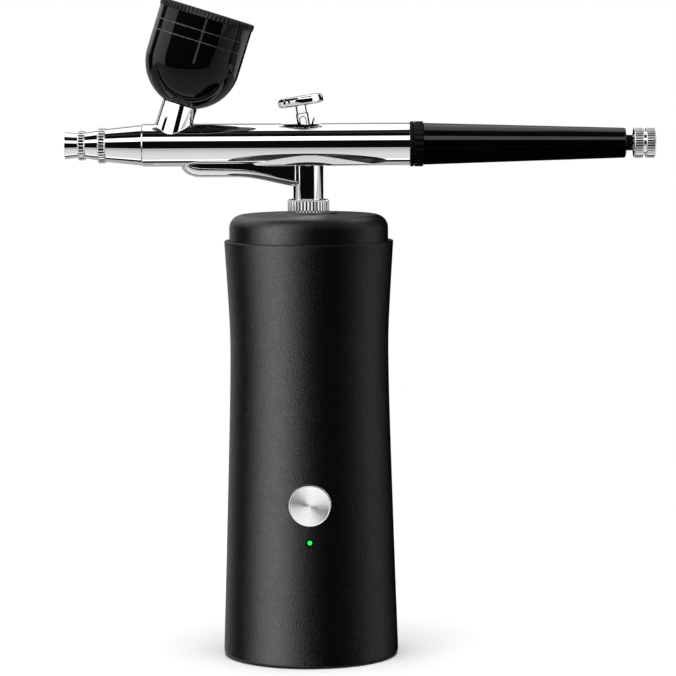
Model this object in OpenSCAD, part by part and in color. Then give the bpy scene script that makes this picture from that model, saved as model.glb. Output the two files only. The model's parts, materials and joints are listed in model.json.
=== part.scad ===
// Cordless handheld airbrush compressor: a waisted battery case with a small diaphragm
// pump inside, and a double-action gravity-feed airbrush screwed to its outlet.
// The origin is the centre of the rest face, +Z is up, the nozzle points to -X and the
// power button faces -Y. Lengths are in millimetres, angles in degrees.

/* [Case] */
// Height of the case's rim
rim_z = 118.4; // [117.8:0.1:119]
// Radius of the case at its foot
foot_r = 24.94; // [24.6:0.02:25.4]
// Radius of the case at its waist
waist_r = 22.46; // [22.3:0.02:22.8]
// Height of the waist
waist_z = 88.5; // [84:0.5:92]
// Radius of the case at its rim
rim_r = 23.96; // [23.8:0.02:24.4]
// Thickness of the case's wall
wall = 2; // [1.8:0.05:2.1]
// Radius of the top cap
cap_r = 22.5; // [22.3:0.02:22.6]

/* [Power button] */
// Height of the button's centre
button_z = 45.85; // [44:0.05:48]
// Radius of the button's face
button_r = 5.775; // [5.5:0.025:5.8]
// Height of the status light
light_z = 35.5; // [33:0.1:37]

/* [Pump] */
// Lean of the wobble pin, which sets the stroke
wobble_lean = 8; // [6:0.5:8]
// Radius of a battery cell
cell_r = 9.2; // [9:0.05:9.2]
// Radius of the motor
motor_r = 12.2; // [12:0.05:12.2]

/* [Airbrush] */
// Height of the airbrush's axis
axis_z = 145.5; // [145.4:0.05:145.6]
// Radius of the airbrush's tube
tube_r = 6; // [5.95:0.01:6.05]
// Front end of the tube
tube_front = -46.85; // [-48:0.05:-46.5]
// Rear end of the tube
tube_rear = 28.7; // [28.6:0.05:29]
// Front end of the needle cap
cap_front = -68.6; // [-69:0.1:-68.2]
// Radius of the needle's shank
needle_r = 0.7; // [0.6:0.01:0.7]

/* [Trigger] */
// Forward lean of the trigger at rest
trigger_lean = 9; // [8:0.5:10]
// Downward travel of the trigger, which opens the air valve
press_travel = 1.8; // [1.4:0.1:1.8]

/* [Paint cup] */
// Lean of the cup towards the handle
cup_lean = 17.5; // [16:0.5:19]
// Outer radius of the cup
cup_r = 13.4; // [13:0.05:13.6]

/* [Handle] */
// Rear end of the handle
handle_rear = 89.6; // [88:0.1:91]
// Radius of the handle's front
handle_front_r = 5.9; // [5.85:0.01:6]
// Radius of the handle's rear
handle_rear_r = 4.23; // [4.2:0.01:4.4]

/* [Hidden] */
$fn = 64;
cut = 0.5;            // overshoot of a cutting shape
fit = 0.03;           // radial gap between pieces that are fixed together
run = 0.06;           // radial gap between pieces that move on each other

// Case
case_bottom = 0.6;
waist_soft = 0.53;    // how gently the case's profile turns at the waist
edge_r = 0.8;         // rounding of the case's lower edge
seat_z = 112.4;       // ledge that the top cap's skirt stands on
cap_shoulder_r = 3.8;
cap_shoulder_z = 121.9;
cap_dome_z = 125.95;
boss_r = 7.8;
boss_z = 126.35;
cap_inside_z = 123.55;
base_r = foot_r - wall - 0.15;
base_z = [0.8, 3.4];
pad_r = 21;
pad_top = 1.4;

// Frame and electronics
cell_pitch = 2 * cell_r + 0.4;
cell_y = 4.5;
cell_z = [7.3, 57.3];
nub_r = 3.5;
nub_h = 0.3;
pillars = [[-16.5, -7.5], [16.5, -7.5], [0, 14]];
pillar_r = 2.5;
tray_z = [4.2, 7];
deck_z = [57.9, 61];
board_y = [-13.6, -12];
board_z = [20, 57];
board_half = 12;
board_screw_x = 10.3;
board_screw_z = [26, 52];
screw_r = 1;
screw_head_r = 1.9;
port_z = 14;
port_y = [16.9, 24.15];
port_half = 4.47;
port_r = 1.63;
button_face_y = -23.75;
flange_y = [-21.62, -20.6];
flange_r = 6.7;
spot_r = 7;           // flat seat milled inside the case for the button's flange
spot_y = -21.68;
switch_front_y = -17;
plunger_y = -18.2;
plunger_r = 1.7;
motor_wire_at = [7, -7.4];
pack_wire_at = [3.2, 12.3];

// Motor and pump, from the bottom up
motor_z = [61.6, 91.6];
motor_boss_z = 93.2;
motor_boss_r = 3;
motor_wall = 0.9;
motor_screw_at = 8.5;
bearing_r = 2.4;
magnet_bore_r = 8.9;
shaft_r = 1;
housing_z = [91.65, 107];
housing_floor_z = 94.2;
chamber_r = 10.8;
block_side = 26;
block_corner_r = 15.5;
pump_screw_at = 9.9;
hub_r = 4.6;
hub_z = [94.9, 101];
shaft_top = 98.2;
wobble_z = 107.5;     // point that the wobble plate rocks about
pin_r = 0.8;
pin_span = [-8.9, -2.9];   // ends of the wobble pin along its own axis
arm_r = 7.2;
arm_span = [-4.9, -3.5];
sheet_z = [107, 108];
cup_mouth_r = 3.4;
valve_plate_z = [108, 110.2];
cover_z = [110.2, 114];
barb_r = 2;
pipe_r = 1.7;         // pump's and fitting's pipes, ahead of their barbs
air_bore_r = 0.9;
pump_barb_top = 117.2;

// Outlet and coupling nut
fitting_z = [117.8, 128.2];
fitting_shaft_r = 2.9;
shoulder_r = 3.3;
shoulder_top = 127.42;
fitting_head_r = 3.7;
nut_z = [126.45, 130];
nut_r = 5.885;
nut_lip_top = 127.35;
thread_r = 4;         // the valve case's screw thread, drawn plain

// Airbrush body
neck_r = 5.35;
neck_top = 5.58;      // neck's end along the cup's axis
cup_foot = [-37.74, 0, 151.76];
saddle_half = [22.9, 5.1];
saddle_top = 142.8;
fin_half = 3.5;
stem_r = 4.25;
stem_top = 139.5;
spigot_r = 3.9;
foot_hole_r = 3.3;
slot_x = [-8, 4];
slot_half = 2.75;
lever_slot = [7.6, 1.35];   // rear end and half width of the narrow slot behind the trigger
packing_r = 1.9;
rear_bore_r = 4.2;
rear_bore_front = 0.5;
fluid_r = 1.6;
needle_bore_r = 0.95;
packing_x = [-13.5, -10.5];
socket_r = 3.6;
socket_rear = -43.5;

// Front pieces
ring2_x = [-59.25, -57.1];
nozzle_cap_front = -62.9;
cap_ring_x = [-64.9, nozzle_cap_front];
nozzle_tip = -64.9;
needle_tip = -66.8;
needle_taper_end = -54;
needle_tail = 80;

// Trigger and valve
pivot = [0.3, 0, 141];
trigger_half = [1.75, 2.1];
trigger_neck = [1.3, 1.6];
needle_slot = [2.6, 8.4];   // slot through the trigger for the needle, from the pivot up
lever_gap = 0.3;
lever_pin_r = 0.38;
lever_eye_y = 2.65;
lever_pin_x = pivot[0] - (axis_z - pivot[2]) * tan(trigger_lean)
    + (trigger_half[0] + lever_gap) / cos(trigger_lean) + 0.42;
plunger_top = pivot[2] - trigger_half[0] - 0.04;
plunger_head = 1;
plunger_head_r = 2;
plunger_stem_r = 1;
valve_disc_z = [133, 134.1];
chamber_z = [129.4, 134.2];
valve_chamber_r = 2.6;
pad_span = [15.7, 18.5];
pad_shift = 1.55;
pad_r_out = 4.7;
lip_reach = 7.7;
lip_r = 2.6;

// Paint cup, along its own axis
bowl_centre = 18.1;
bowl_flat = 5.6;
cup_rim = 31.8;
lid_bottom = 30.8;
lid_top = 32.8;
lid_r = 13.7;
scribe_at = [27.2, 24.1];

// Rear pieces
guide_r = 2.1;
flange_x = [4.9, 6.5];
guide_rear = 46;
case_x = [20, 40];    // needle spring's case
case_bore_r = 3.25;
case_out_r = 3.85;
ring_x = [tube_rear, 32.5];
ring_r = 6.375;
rod_r = 2.2;
rod_x = [84.6, 95];
knob_x = [91.9, 97.9];
knob_r = 4.32;
groove_x = [94.6, 95.25];
groove_r = 3.4;

// ---- Shapes that repeat ----

// Round bar along Z, standing at a point of the plan
module bar_z(z, r, at = [0, 0]) {
    translate([at[0], at[1], z[0]]) cylinder(h = z[1] - z[0], r = r);
}

// Round bar along Y through the point (x, z)
module bar_y(y, r, at = [0, 0]) {
    translate([at[0], y[0], at[1]]) rotate([-90, 0, 0]) cylinder(h = y[1] - y[0], r = r);
}

// Round bar along the airbrush's axis, straight or tapered
module bar_x(x, r, r_end = undef) {
    translate([x[0], 0, axis_z]) rotate([0, 90, 0])
        cylinder(h = x[1] - x[0], r1 = r, r2 = is_undef(r_end) ? r : r_end);
}

// Block between two corners
module block(low, high) {
    translate(low) cube(high - low);
}

// Moves a shape from the cup's own axis into place
module on_cup_axis() {
    translate(cup_foot) rotate([0, cup_lean, 0]) children();
}

// Moves a shape from the trigger's own axis into place
module on_trigger_axis() {
    translate(pivot) rotate([0, -trigger_lean, 0]) children();
}

// Moves a shape from the wobble pin's axis into place
module on_wobble_axis() {
    translate([0, 0, wobble_z]) rotate([0, wobble_lean, 0]) children();
}

// Square pump block with rounded corners
module pump_block(z) {
    translate([0, 0, z[0]]) linear_extrude(z[1] - z[0]) intersection() {
        square(block_side, center = true);
        circle(block_corner_r);
    }
}

// One child at each of the four long pump screws
module at_pump_screws() {
    for (x = [-1, 1], y = [-1, 1]) translate([x * pump_screw_at, y * pump_screw_at, 0]) children();
}

// Screw with a round head, pointing up from its head
module screw_up(at, head_z, tip_z) {
    bar_z([head_z, head_z + 1.2], screw_head_r, at);
    bar_z([head_z, tip_z], screw_r, at);
}

// Coil spring along Z, as a tube swept round a helix
module coil(mean_r, wire_r, length, turns) {
    sides = 8;
    steps = 14;
    count = round(turns * steps);
    pitch = length / turns;
    lean = atan(pitch / (2 * PI * mean_r));
    rings = [for (i = [0:count]) let (a = 360 * i / steps)
        [for (j = [0:sides - 1]) let (b = 360 * j / sides, u = wire_r * cos(b), v = wire_r * sin(b))
            [(mean_r + u) * cos(a) + v * sin(lean) * sin(a),
             (mean_r + u) * sin(a) - v * sin(lean) * cos(a),
             length * i / count + v * cos(lean)]]];
    points = [for (ring = rings) each ring];
    quads = [for (i = [0:count - 1], j = [0:sides - 1]) let (k = (j + 1) % sides)
        [i * sides + j, (i + 1) * sides + j, (i + 1) * sides + k, i * sides + k]];
    ends = [[for (j = [0:sides - 1]) j], [for (j = [sides - 1:-1:0]) count * sides + j]];
    polyhedron(points, concat(quads, ends), convexity = 8);
}

// ---- Case ----

// Radius of the case at a height: two slopes that meet softly at the waist
function slope_to(r, z) = sqrt(pow(r - waist_r + waist_soft, 2) - pow(waist_soft, 2)) / abs(z - waist_z);
lower_slope = slope_to(foot_r, case_bottom);
upper_slope = slope_to(rim_r, rim_z);
function case_r(z) = let (s = z < waist_z ? lower_slope : upper_slope)
    waist_r - waist_soft + sqrt(pow(waist_soft, 2) + pow(s * (z - waist_z), 2));

module shell() {
    outer_z = [for (z = [7.4:5:rim_z - 3]) z];
    inner_z = [for (z = [107.4:-5:7.4]) z];
    color("#1c1c1e") difference() {
        rotate_extrude($fn = 128) polygon(concat(
            [for (a = [-90:30:0]) [case_r(1.4) - edge_r + edge_r * cos(a),
                case_bottom + edge_r + edge_r * sin(a)]],
            [for (z = outer_z) [case_r(z), z]],
            [[rim_r, rim_z], [cap_r + fit, rim_z], [cap_r + fit, seat_z], [case_r(seat_z) - wall, seat_z]],
            [for (z = inner_z) [case_r(z) - wall, z]],
            [[base_r + fit, 3.5], [base_r + fit, case_bottom]]));
        bar_y([-30, -15], button_r + 0.22, [0, button_z]);
        bar_y([spot_y, -15], spot_r, [0, button_z]);
        bar_y([-30, -15], 1.25 + fit, [0, light_z]);
        charge_port_outline(0.3, [15, 30]);
    }
}

// Rounded outline of the charge port, grown by a gap
module charge_port_outline(gap, y) {
    reach = port_half - port_r;
    bar_y(y, port_r + gap, [-reach, port_z]);
    bar_y(y, port_r + gap, [reach, port_z]);
    block([-reach, y[0], port_z - port_r - gap], [reach, y[1], port_z + port_r + gap]);
}

module top_cap() {
    shoulder_x = cap_r - cap_shoulder_r;
    inner = cap_r - wall;
    color("#1c1c1e") difference() {
        rotate_extrude($fn = 128) polygon(concat(
            [[0, cap_inside_z], [inner - 2, cap_inside_z], [inner, cap_inside_z - 2], [inner, seat_z + 0.02],
             [cap_r, seat_z + 0.02]],
            [for (a = [0:10:90])
                [shoulder_x + cap_shoulder_r * cos(a), cap_shoulder_z + cap_shoulder_r * sin(a)]],
            [[boss_r + 0.4, cap_dome_z], [boss_r, boss_z], [0, boss_z]]));
        bar_z([120, 130], fitting_shaft_r + fit);
    }
}

module base_cover() {
    color("#202022") difference() {
        union() {
            bar_z(base_z, base_r);
            for (p = pillars) bar_z([base_z[1], tray_z[0] - 0.02], pillar_r, p);
        }
        for (p = pillars) {
            bar_z([0, tray_z[0] + cut], screw_r + fit, p);
            bar_z([0, 2.85], screw_head_r + 0.1, p);
        }
        bar_z([0, pad_top + 0.02], pad_r + fit);
    }
}

module foot_pad() {
    color("#2a2a2c") difference() {
        bar_z([0, pad_top], pad_r);
        for (p = pillars) bar_z([-cut, pad_top + cut], screw_head_r + 0.4, p);
    }
}

// Base screws, which point up, and motor screws, which point down
module small_screws() {
    color("silver") {
        for (p = pillars) screw_up(p, 1.6, 9);
        for (side = [-1, 1]) {
            bar_z([housing_floor_z, housing_floor_z + 1], screw_head_r, [side * motor_screw_at, 0]);
            bar_z([89.5, housing_floor_z + 0.5], screw_r, [side * motor_screw_at, 0]);
        }
    }
}

// ---- Frame, battery and electronics ----

module inner_frame() {
    color("#3a3d40") difference() {
        union() {
            bar_z(tray_z, 20);
            bar_z(deck_z, 20.2);
            for (p = pillars) bar_z([tray_z[0], deck_z[1]], pillar_r, p);
            for (side = [-1, 1], z = board_screw_z)
                block([min(side * 8.6, side * 16), board_y[1] + 0.02, z - 2],
                    [max(side * 8.6, side * 16), -8, z + 2]);
            bar_z([deck_z[1], 76], motor_r + 1.8);
        }
        bar_z([deck_z[0] + 1.2, 80], motor_r + 0.05);
        for (p = pillars) bar_z([0, 10], screw_r + fit, p);
        for (side = [-1, 1], z = board_screw_z) bar_y([-20, -7.9], screw_r + fit, [side * board_screw_x, z]);
        for (side = [-1, 1])
            bar_z([deck_z[0] - cut, deck_z[1]], 1.6, [side * motor_wire_at[0], motor_wire_at[1]]);
    }
}

module control_board() {
    color("#1d5c38") difference() {
        block([-board_half, board_y[0], board_z[0]], [board_half, board_y[1], board_z[1]]);
        for (side = [-1, 1], z = board_screw_z) bar_y([-20, -7], screw_r + fit, [side * board_screw_x, z]);
    }
    color("#222222") {
        block([-4, board_y[1], 38], [4, board_y[1] + 1.4, 44]);
        block([-2.6, board_y[1], 28], [2.6, board_y[1] + 1.2, 33]);
        block([-0.8, board_y[0] - 0.7, light_z - 0.6], [0.8, board_y[0], light_z + 0.6]);
    }
}

module board_screws() {
    color("silver") for (side = [-1, 1], z = board_screw_z) {
        bar_y([board_y[0] - 1.2, board_y[0]], screw_head_r, [side * board_screw_x, z]);
        bar_y([board_y[0] - 0.6, -8.6], screw_r, [side * board_screw_x, z]);
    }
}

module tact_switch() {
    color("#303030") difference() {
        block([-3, switch_front_y, button_z - 3], [3, board_y[0], button_z + 3]);
        bar_y([switch_front_y - cut, board_y[0] - 1.2], plunger_r + run, [0, button_z]);
    }
}

// Button's plunger inside the switch, which moves with the button
module switch_plunger() {
    color("#8a2a22") bar_y([plunger_y, switch_front_y + 1.4], plunger_r, [0, button_z]);
}

module power_button() {
    color("#d8d8da") {
        bar_y([button_face_y, flange_y[0]], button_r, [0, button_z]);
        bar_y([flange_y[0], flange_y[1]], flange_r, [0, button_z]);
        bar_y([flange_y[1], plunger_y], plunger_r, [0, button_z]);
    }
}

module led_lens() {
    color("#2fd84a") {
        bar_y([-23.75, board_y[0] - 0.9], 1.25, [0, light_z]);
        bar_y([-24, -23.7], 0.9, [0, light_z]);
    }
}

module charge_port() {
    color("silver") difference() {
        charge_port_outline(0, port_y);
        charge_port_outline(-0.3, [port_y[0] + 1, port_y[1] + cut]);
    }
    color("#202020") block([-3.3, port_y[0] + 0.9, port_z - 0.35], [3.3, port_y[1] - 0.8, port_z + 0.35]);
}

module charge_board() {
    color("#1d5c38") block([-7, 16.6, 11.2], [7, 21.2, port_z - port_r - 0.01]);
}

module battery_cells() {
    color("#2c6fae") for (side = [-1, 1]) {
        bar_z(cell_z, cell_r, [side * cell_pitch / 2, cell_y]);
        bar_z([cell_z[1], cell_z[1] + nub_h], nub_r, [side * cell_pitch / 2, cell_y]);
    }
}

module battery_tabs() {
    color("silver") {
        block([-13, cell_y - 3, tray_z[1] + 0.01], [13, cell_y + 3, cell_z[0] - 0.01]);
        for (side = [-1, 1])
            block([side * cell_pitch / 2 - 4, cell_y - 3, cell_z[1] + nub_h + 0.01],
                [side * cell_pitch / 2 + 4, cell_y + 3, deck_z[0] - 0.02]);
    }
}

// Leads from the board up through the deck to the motor, and from the charge board
module wiring() {
    color("#b02020") for (side = [-1, 1]) {
        bar_z([46, 60.6], 0.6, [side * motor_wire_at[0], motor_wire_at[1]]);
        bar_y([board_y[1] + 0.02, motor_wire_at[1]], 0.5, [side * motor_wire_at[0], 46.8]);
    }
    color("#202020") for (side = [-1, 1]) {
        bar_z([11.6, 16], 0.5, [side * pack_wire_at[0], pack_wire_at[1]]);
        bar_y([pack_wire_at[1], 16.58], 0.4, [side * pack_wire_at[0], 12]);
    }
}

// ---- Motor and pump ----

module motor_can() {
    color("#c9ccd0") difference() {
        union() {
            bar_z(motor_z, motor_r);
            bar_z([motor_z[1], motor_boss_z], motor_boss_r);
        }
        bar_z([motor_z[0] - cut, motor_z[1] - 1.2], motor_r - motor_wall);
        bar_z([88, 95], bearing_r + fit);
        for (side = [-1, 1]) bar_z([88, 95], screw_r + fit, [side * motor_screw_at, 0]);
    }
}

module motor_endcap() {
    color("#e9e4d6") difference() {
        union() {
            bar_z([61.05, 61.58], motor_r);
            bar_z([61.4, 64], motor_r - motor_wall - 0.05);
        }
        bar_z([62, 65], bearing_r + fit);
        bar_z([61.2, 65], shaft_r + run);
    }
    color("silver") for (side = [-1, 1]) block([side * 6 - 0.4, -1, 59.3], [side * 6 + 0.4, 1, 61.2]);
}

module motor_bearings() {
    color("#b08d4f") for (z = [[62.05, 64], [90.6, motor_boss_z]]) difference() {
        bar_z(z, bearing_r);
        bar_z([z[0] - cut, z[1] + cut], shaft_r + run);
    }
}

module motor_magnets() {
    color("#4a4a4c") difference() {
        bar_z([66, 87], motor_r - motor_wall - 0.05);
        bar_z([65, 88], magnet_bore_r);
        block([-5, -15, 65], [5, 15, 88]);
    }
}

module armature() {
    color("#b4602c") difference() {
        union() {
            bar_z([70, 84], 8.2);
            bar_z([68, 86], 7);
            bar_z([65, 68], 2.6);
        }
        bar_z([60, 90], shaft_r + 0.02);
    }
}

module motor_shaft() {
    color("silver") bar_z([61.3, shaft_top], shaft_r);
}

module pump_housing() {
    color("#e4e4e0") difference() {
        pump_block(housing_z);
        bar_z([housing_floor_z, 110], chamber_r);
        bar_z([90, 96], motor_boss_r + fit);
        for (side = [-1, 1]) bar_z([90, 96], screw_r + fit, [side * motor_screw_at, 0]);
        at_pump_screws() bar_z([98, 110], screw_r + fit);
    }
}

// Wheel on the motor shaft, with a slanted bore for the wobble pin
module eccentric_wheel() {
    color("#d8c9a0") difference() {
        bar_z(hub_z, hub_r);
        bar_z([90, shaft_top + 0.02], shaft_r + 0.02);
        on_wobble_axis() bar_z([pin_span[0] - 0.02, 0], pin_r + 0.02);
    }
}

module wobble_pin() {
    color("silver") on_wobble_axis() bar_z(pin_span, pin_r);
}

// Three-armed plate that rocks without turning and works the three diaphragm cups
module wobble_plate() {
    color("#ececec") on_wobble_axis() difference() {
        union() {
            bar_z([-6, -2.6], 2.4);
            for (a = [0:120:240]) rotate(a) {
                bar_z(arm_span, 1.7, [arm_r, 0]);
                block([0, -1.3, arm_span[0]], [arm_r, 1.3, arm_span[1]]);
            }
        }
        bar_z([-7, -2.85], pin_r + run);
        for (a = [0:120:240]) rotate(a) bar_z([-6, -2], 0.9, [arm_r, 0]);
    }
}

// Rubber sheet with three cups, whose stems plug into the wobble plate's arms
module diaphragm() {
    color("#5a5a5a") {
        difference() {
            pump_block(sheet_z);
            at_pump_screws() bar_z([105, 110], screw_r + fit);
            for (a = [0:120:240]) rotate(a) bar_z([105, 110], cup_mouth_r - 0.4, [arm_r, 0]);
        }
        for (a = [0:120:240]) hull() {
            rotate(a) bar_z([sheet_z[0] + 0.1, sheet_z[0] + 0.6], cup_mouth_r, [arm_r, 0], $fn = 32);
            on_wobble_axis() rotate(a) bar_z([-2, -1.7], 1.5, [arm_r, 0], $fn = 32);
        }
        on_wobble_axis() for (a = [0:120:240]) rotate(a) {
            bar_z([-5.2, -1.8], 0.84, [arm_r, 0]);
            bar_z([-3.46, -1.8], 1.2, [arm_r, 0]);
        }
    }
}

module valve_plate() {
    color("#dedede") difference() {
        pump_block([valve_plate_z[0] + 0.01, valve_plate_z[1]]);
        at_pump_screws() bar_z([105, 115], screw_r + fit);
        for (a = [0:120:240]) rotate(a) {
            bar_z([105, 115], 0.45, [arm_r, 0]);
            bar_z([105, 115], 0.5, [arm_r - 3, 0]);
        }
        bar_z([105, 115], 0.45);
    }
}

// Rubber flap valves: one over each cup and one over the outlet
module umbrella_valves() {
    color("#9a3030") {
        bar_z([valve_plate_z[1] + 0.01, valve_plate_z[1] + 0.7], 3.3);
        bar_z([valve_plate_z[0] + 0.3, valve_plate_z[1] + 0.4], 0.42);
        for (a = [0:120:240]) rotate(a) {
            bar_z([valve_plate_z[1] + 0.01, valve_plate_z[1] + 0.6], 1.3, [arm_r + 1.2, 0]);
            bar_z([valve_plate_z[0] + 0.3, valve_plate_z[1] + 0.3], 0.42, [arm_r, 0]);
        }
    }
}

module pump_cover() {
    color("#e4e4e0") difference() {
        union() {
            pump_block([cover_z[0] + 0.01, cover_z[1]]);
            bar_z([cover_z[1], pump_barb_top], pipe_r);
            translate([0, 0, 115.4]) cylinder(h = 1.2, r1 = barb_r, r2 = pipe_r);
        }
        bar_z([cover_z[0] - cut, cover_z[1] - 1.6], chamber_r);
        bar_z([112, 120], air_bore_r);
        at_pump_screws() bar_z([105, 120], screw_r + fit);
    }
}

module pump_screws() {
    color("silver") at_pump_screws() {
        bar_z([cover_z[1], cover_z[1] + 1.2], screw_head_r);
        bar_z([98.5, cover_z[1] + 0.5], screw_r);
    }
}

module outlet_hose() {
    color("#d9d9d9") difference() {
        bar_z([cover_z[1] + 0.1, 120.9], 3);
        bar_z([113, 122], barb_r + fit);
    }
}

// Outlet post: the barb is inside the case, the head holds the coupling nut outside it
module outlet_fitting() {
    color("#cfcfcf") difference() {
        union() {
            bar_z([fitting_z[0], 121.2], pipe_r);
            translate([0, 0, 119]) cylinder(h = 1.2, r1 = pipe_r, r2 = barb_r);
            bar_z([121.1, boss_z + 0.5], fitting_shaft_r);
            bar_z([boss_z + 0.02, shoulder_top], shoulder_r);
            bar_z([shoulder_top, fitting_z[1]], fitting_head_r);
        }
        bar_z([fitting_z[0] - cut, fitting_z[1] + cut], air_bore_r);
    }
}

module fitting_nut() {
    color("#b08d4f") difference() {
        translate([0, 0, 121.4]) cylinder(h = cap_inside_z - 0.03 - 121.4, r = 5, $fn = 6);
        bar_z([120, 125], fitting_shaft_r + fit);
    }
}

module coupling_nut() {
    color("#d5d7da") difference() {
        bar_z(nut_z, nut_r);
        bar_z([nut_z[0] - cut, nut_z[1]], shoulder_r + run);
        bar_z([nut_lip_top, nut_z[1] + cut], thread_r + run);
    }
}

// ---- Airbrush body ----

// Pointed guard under the tube: a side outline cut to a boat-shaped plan
module fin() {
    side = [[-35.7, 139.4], [-33.6, 137.6], [-30.95, 136.45], [-22, 136.2], [-13.6, 135.7], [-8.4, 134.5],
        [-4, 133.5], [-1, 133.5], [-1, 142], [-34.5, 142]];
    plan = [[-35.8, 0], [-34, 1.7], [-31.5, 2.9], [-27.5, fin_half], [0, fin_half]];
    intersection() {
        rotate([90, 0, 0]) linear_extrude(2 * fin_half + 1, center = true) polygon(side);
        translate([0, 0, 130]) linear_extrude(15)
            polygon(concat(plan, [for (i = [4:-1:1]) [plan[i][0], -plan[i][1]]]));
    }
}

// Raised oval under the tube, round the valve stem
module saddle() {
    translate([0.2, 0, stem_top]) linear_extrude(saddle_top - stem_top)
        polygon([for (a = [0:9:351]) [saddle_half[0] * cos(a), saddle_half[1] * sin(a)]]);
}

module airbrush_body() {
    color("#d5d7da") difference() {
        union() {
            bar_x([tube_front, tube_rear], tube_r);
            on_cup_axis() bar_z([-5, neck_top], neck_r);
            difference() {
                fin();
                bar_z([130, stem_top], stem_r + fit);
            }
            saddle();
        }
        bar_x([tube_front - cut, socket_rear], socket_r);
        bar_x([socket_rear - cut, -33], fluid_r);
        bar_x([-34, packing_x[0] + cut], needle_bore_r);
        bar_x([packing_x[0], 0], packing_r);
        on_cup_axis() {
            bar_z([0.8, 12], spigot_r + fit);
            bar_z([-6.6, 2], fluid_r);
        }
        bar_x([rear_bore_front, tube_rear + cut], rear_bore_r);
        block([slot_x[0], -slot_half, pivot[2]], [slot_x[1], slot_half, axis_z + 10]);
        block([slot_x[1] - cut, -lever_slot[1], axis_z], [lever_slot[0], lever_slot[1], axis_z + 10]);
        bar_z([stem_top - 8, 140.85], spigot_r + fit);
        bar_z([140, axis_z], foot_hole_r);
    }
}

// ---- Front pieces ----

module head_cone() {
    color("#d5d7da") difference() {
        union() {
            bar_x([ring2_x[1], tube_front], 4.65, 5.725);
            bar_x([tube_front - cut, socket_rear - fit], socket_r - fit);
            bar_x([ring2_x[1] - 1.5, ring2_x[1]], 3.4);
        }
        bar_x([-60, -54.85], 2.3 + fit);
        bar_x([-56, -49], 1.6 + fit);
        bar_x([-50, -43], fluid_r);
        for (a = [45:90:315]) translate([0, 0, axis_z]) rotate([a, 0, 0])
            translate([-60, 0, 2.95]) rotate([0, 90, 0]) cylinder(h = 12.4, r = 0.35);
    }
}

module nozzle() {
    color("#c9b27a") difference() {
        union() {
            bar_x([-55, -49.05], 1.6);
            bar_x([-56.4, -54.9], 2.3);
            bar_x([nozzle_tip, -56.4], 0.42, 1.6);
        }
        bar_x([-57, -49], 0.9);
        bar_x([nozzle_tip, -56.9], 0.27, 0.9);
        bar_x([nozzle_tip - cut, nozzle_tip + 0.2], 0.27);
    }
}

module nozzle_cap() {
    color("#d5d7da") difference() {
        union() {
            bar_x([nozzle_cap_front, ring2_x[0]], 3.6, 4.225);
            bar_x([ring2_x[0], ring2_x[1] - 0.02], 5.05);
            bar_x([-64.6, nozzle_cap_front], 2.4);
        }
        bar_x([ring2_x[1] - 1.6, ring2_x[1]], 3.4 + fit);
        bar_x([-64, ring2_x[1] - 1.5], 0.85, 3.1);
        bar_x([-65, -63.9], 0.85);
    }
}

module needle_cap() {
    color("#d5d7da") difference() {
        union() {
            bar_x([cap_front, cap_ring_x[0]], 3.85, 3.4);
            bar_x([cap_ring_x[0], cap_ring_x[1] - 0.03], 4.2);
        }
        bar_x([cap_front - 0.01, -65.2], 3.1, 1.4);
        bar_x([-65.3, -64], 1.4);
        bar_x([-64.66, -62], 2.4 + run);
    }
}

module needle() {
    color("#c4c6c9") {
        bar_x([needle_tip, needle_taper_end], 0.08, needle_r);
        bar_x([needle_taper_end, needle_tail], needle_r);
    }
}

module needle_packing() {
    color("white") difference() {
        bar_x(packing_x, packing_r - fit);
        bar_x([packing_x[0] - cut, packing_x[1] + cut], needle_r + run);
    }
}

// ---- Paint cup ----

module paint_cup() {
    bowl = [for (a = [-68.9:8:-4]) a];
    inner_r = cup_r - 1;
    color("#17181a") on_cup_axis() difference() {
        union() {
            rotate_extrude($fn = 128) polygon(concat(
                [[0, bowl_flat]],
                [for (a = bowl) [cup_r * cos(a), bowl_centre + cup_r * sin(a)]],
                [[cup_r, bowl_centre], [cup_r, lid_bottom + 0.05], [cup_r - 0.45, lid_bottom + 0.05],
                 [cup_r - 0.45, cup_rim], [0, cup_rim]]));
            bar_z([1, bowl_flat], spigot_r);
        }
        rotate_extrude($fn = 128) polygon(concat(
            [[0, bowl_centre - inner_r]],
            [for (a = [-80:10:0]) [inner_r * cos(a), bowl_centre + inner_r * sin(a)]],
            [[inner_r, cup_rim + cut], [0, cup_rim + cut]]));
        bar_z([0, bowl_centre], 2.6);
        for (s = scribe_at) difference() {
            bar_z([s - 0.12, s + 0.12], cup_r + cut);
            bar_z([s - 1, s + 1], cup_r - 0.12);
        }
    }
}

module cup_lid() {
    color("#17181a") on_cup_axis() difference() {
        union() {
            bar_z([lid_bottom + 0.08, lid_top], lid_r);
            bar_z([29, lid_top - 0.5], cup_r - 1.1);
        }
        difference() {
            bar_z([20, cup_rim + 0.05], cup_r - 0.4);
            bar_z([19, cup_rim + 0.1], cup_r - 1.1);
        }
        bar_z([20, cup_rim + 0.05], cup_r - 2.1);
        bar_z([20, 40], 0.7);
    }
}

// ---- Air valve ----

module valve_case() {
    color("#d5d7da") difference() {
        union() {
            bar_z([nut_z[1] + 0.05, stem_top - 0.02], stem_r);
            bar_z([fitting_z[1] + 0.3, nut_z[1] + 0.1], thread_r);
            bar_z([stem_top - 0.1, 140.8], spigot_r);
        }
        bar_z([plunger_top - plunger_head - press_travel - 0.4, 142], foot_hole_r);
        bar_z([chamber_z[0] - cut, chamber_z[1]], valve_chamber_r);
        bar_z([128, 130], valve_chamber_r);
        bar_z([130, 138], plunger_stem_r + run);
        difference() {
            bar_z([128, 129.1], 3.75);
            bar_z([127, 130], 2.95);
        }
    }
}

module valve_screw() {
    color("#b08d4f") difference() {
        bar_z([fitting_z[1] + 0.35, chamber_z[0]], valve_chamber_r - fit);
        bar_z([127, 131], air_bore_r);
    }
}

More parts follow.
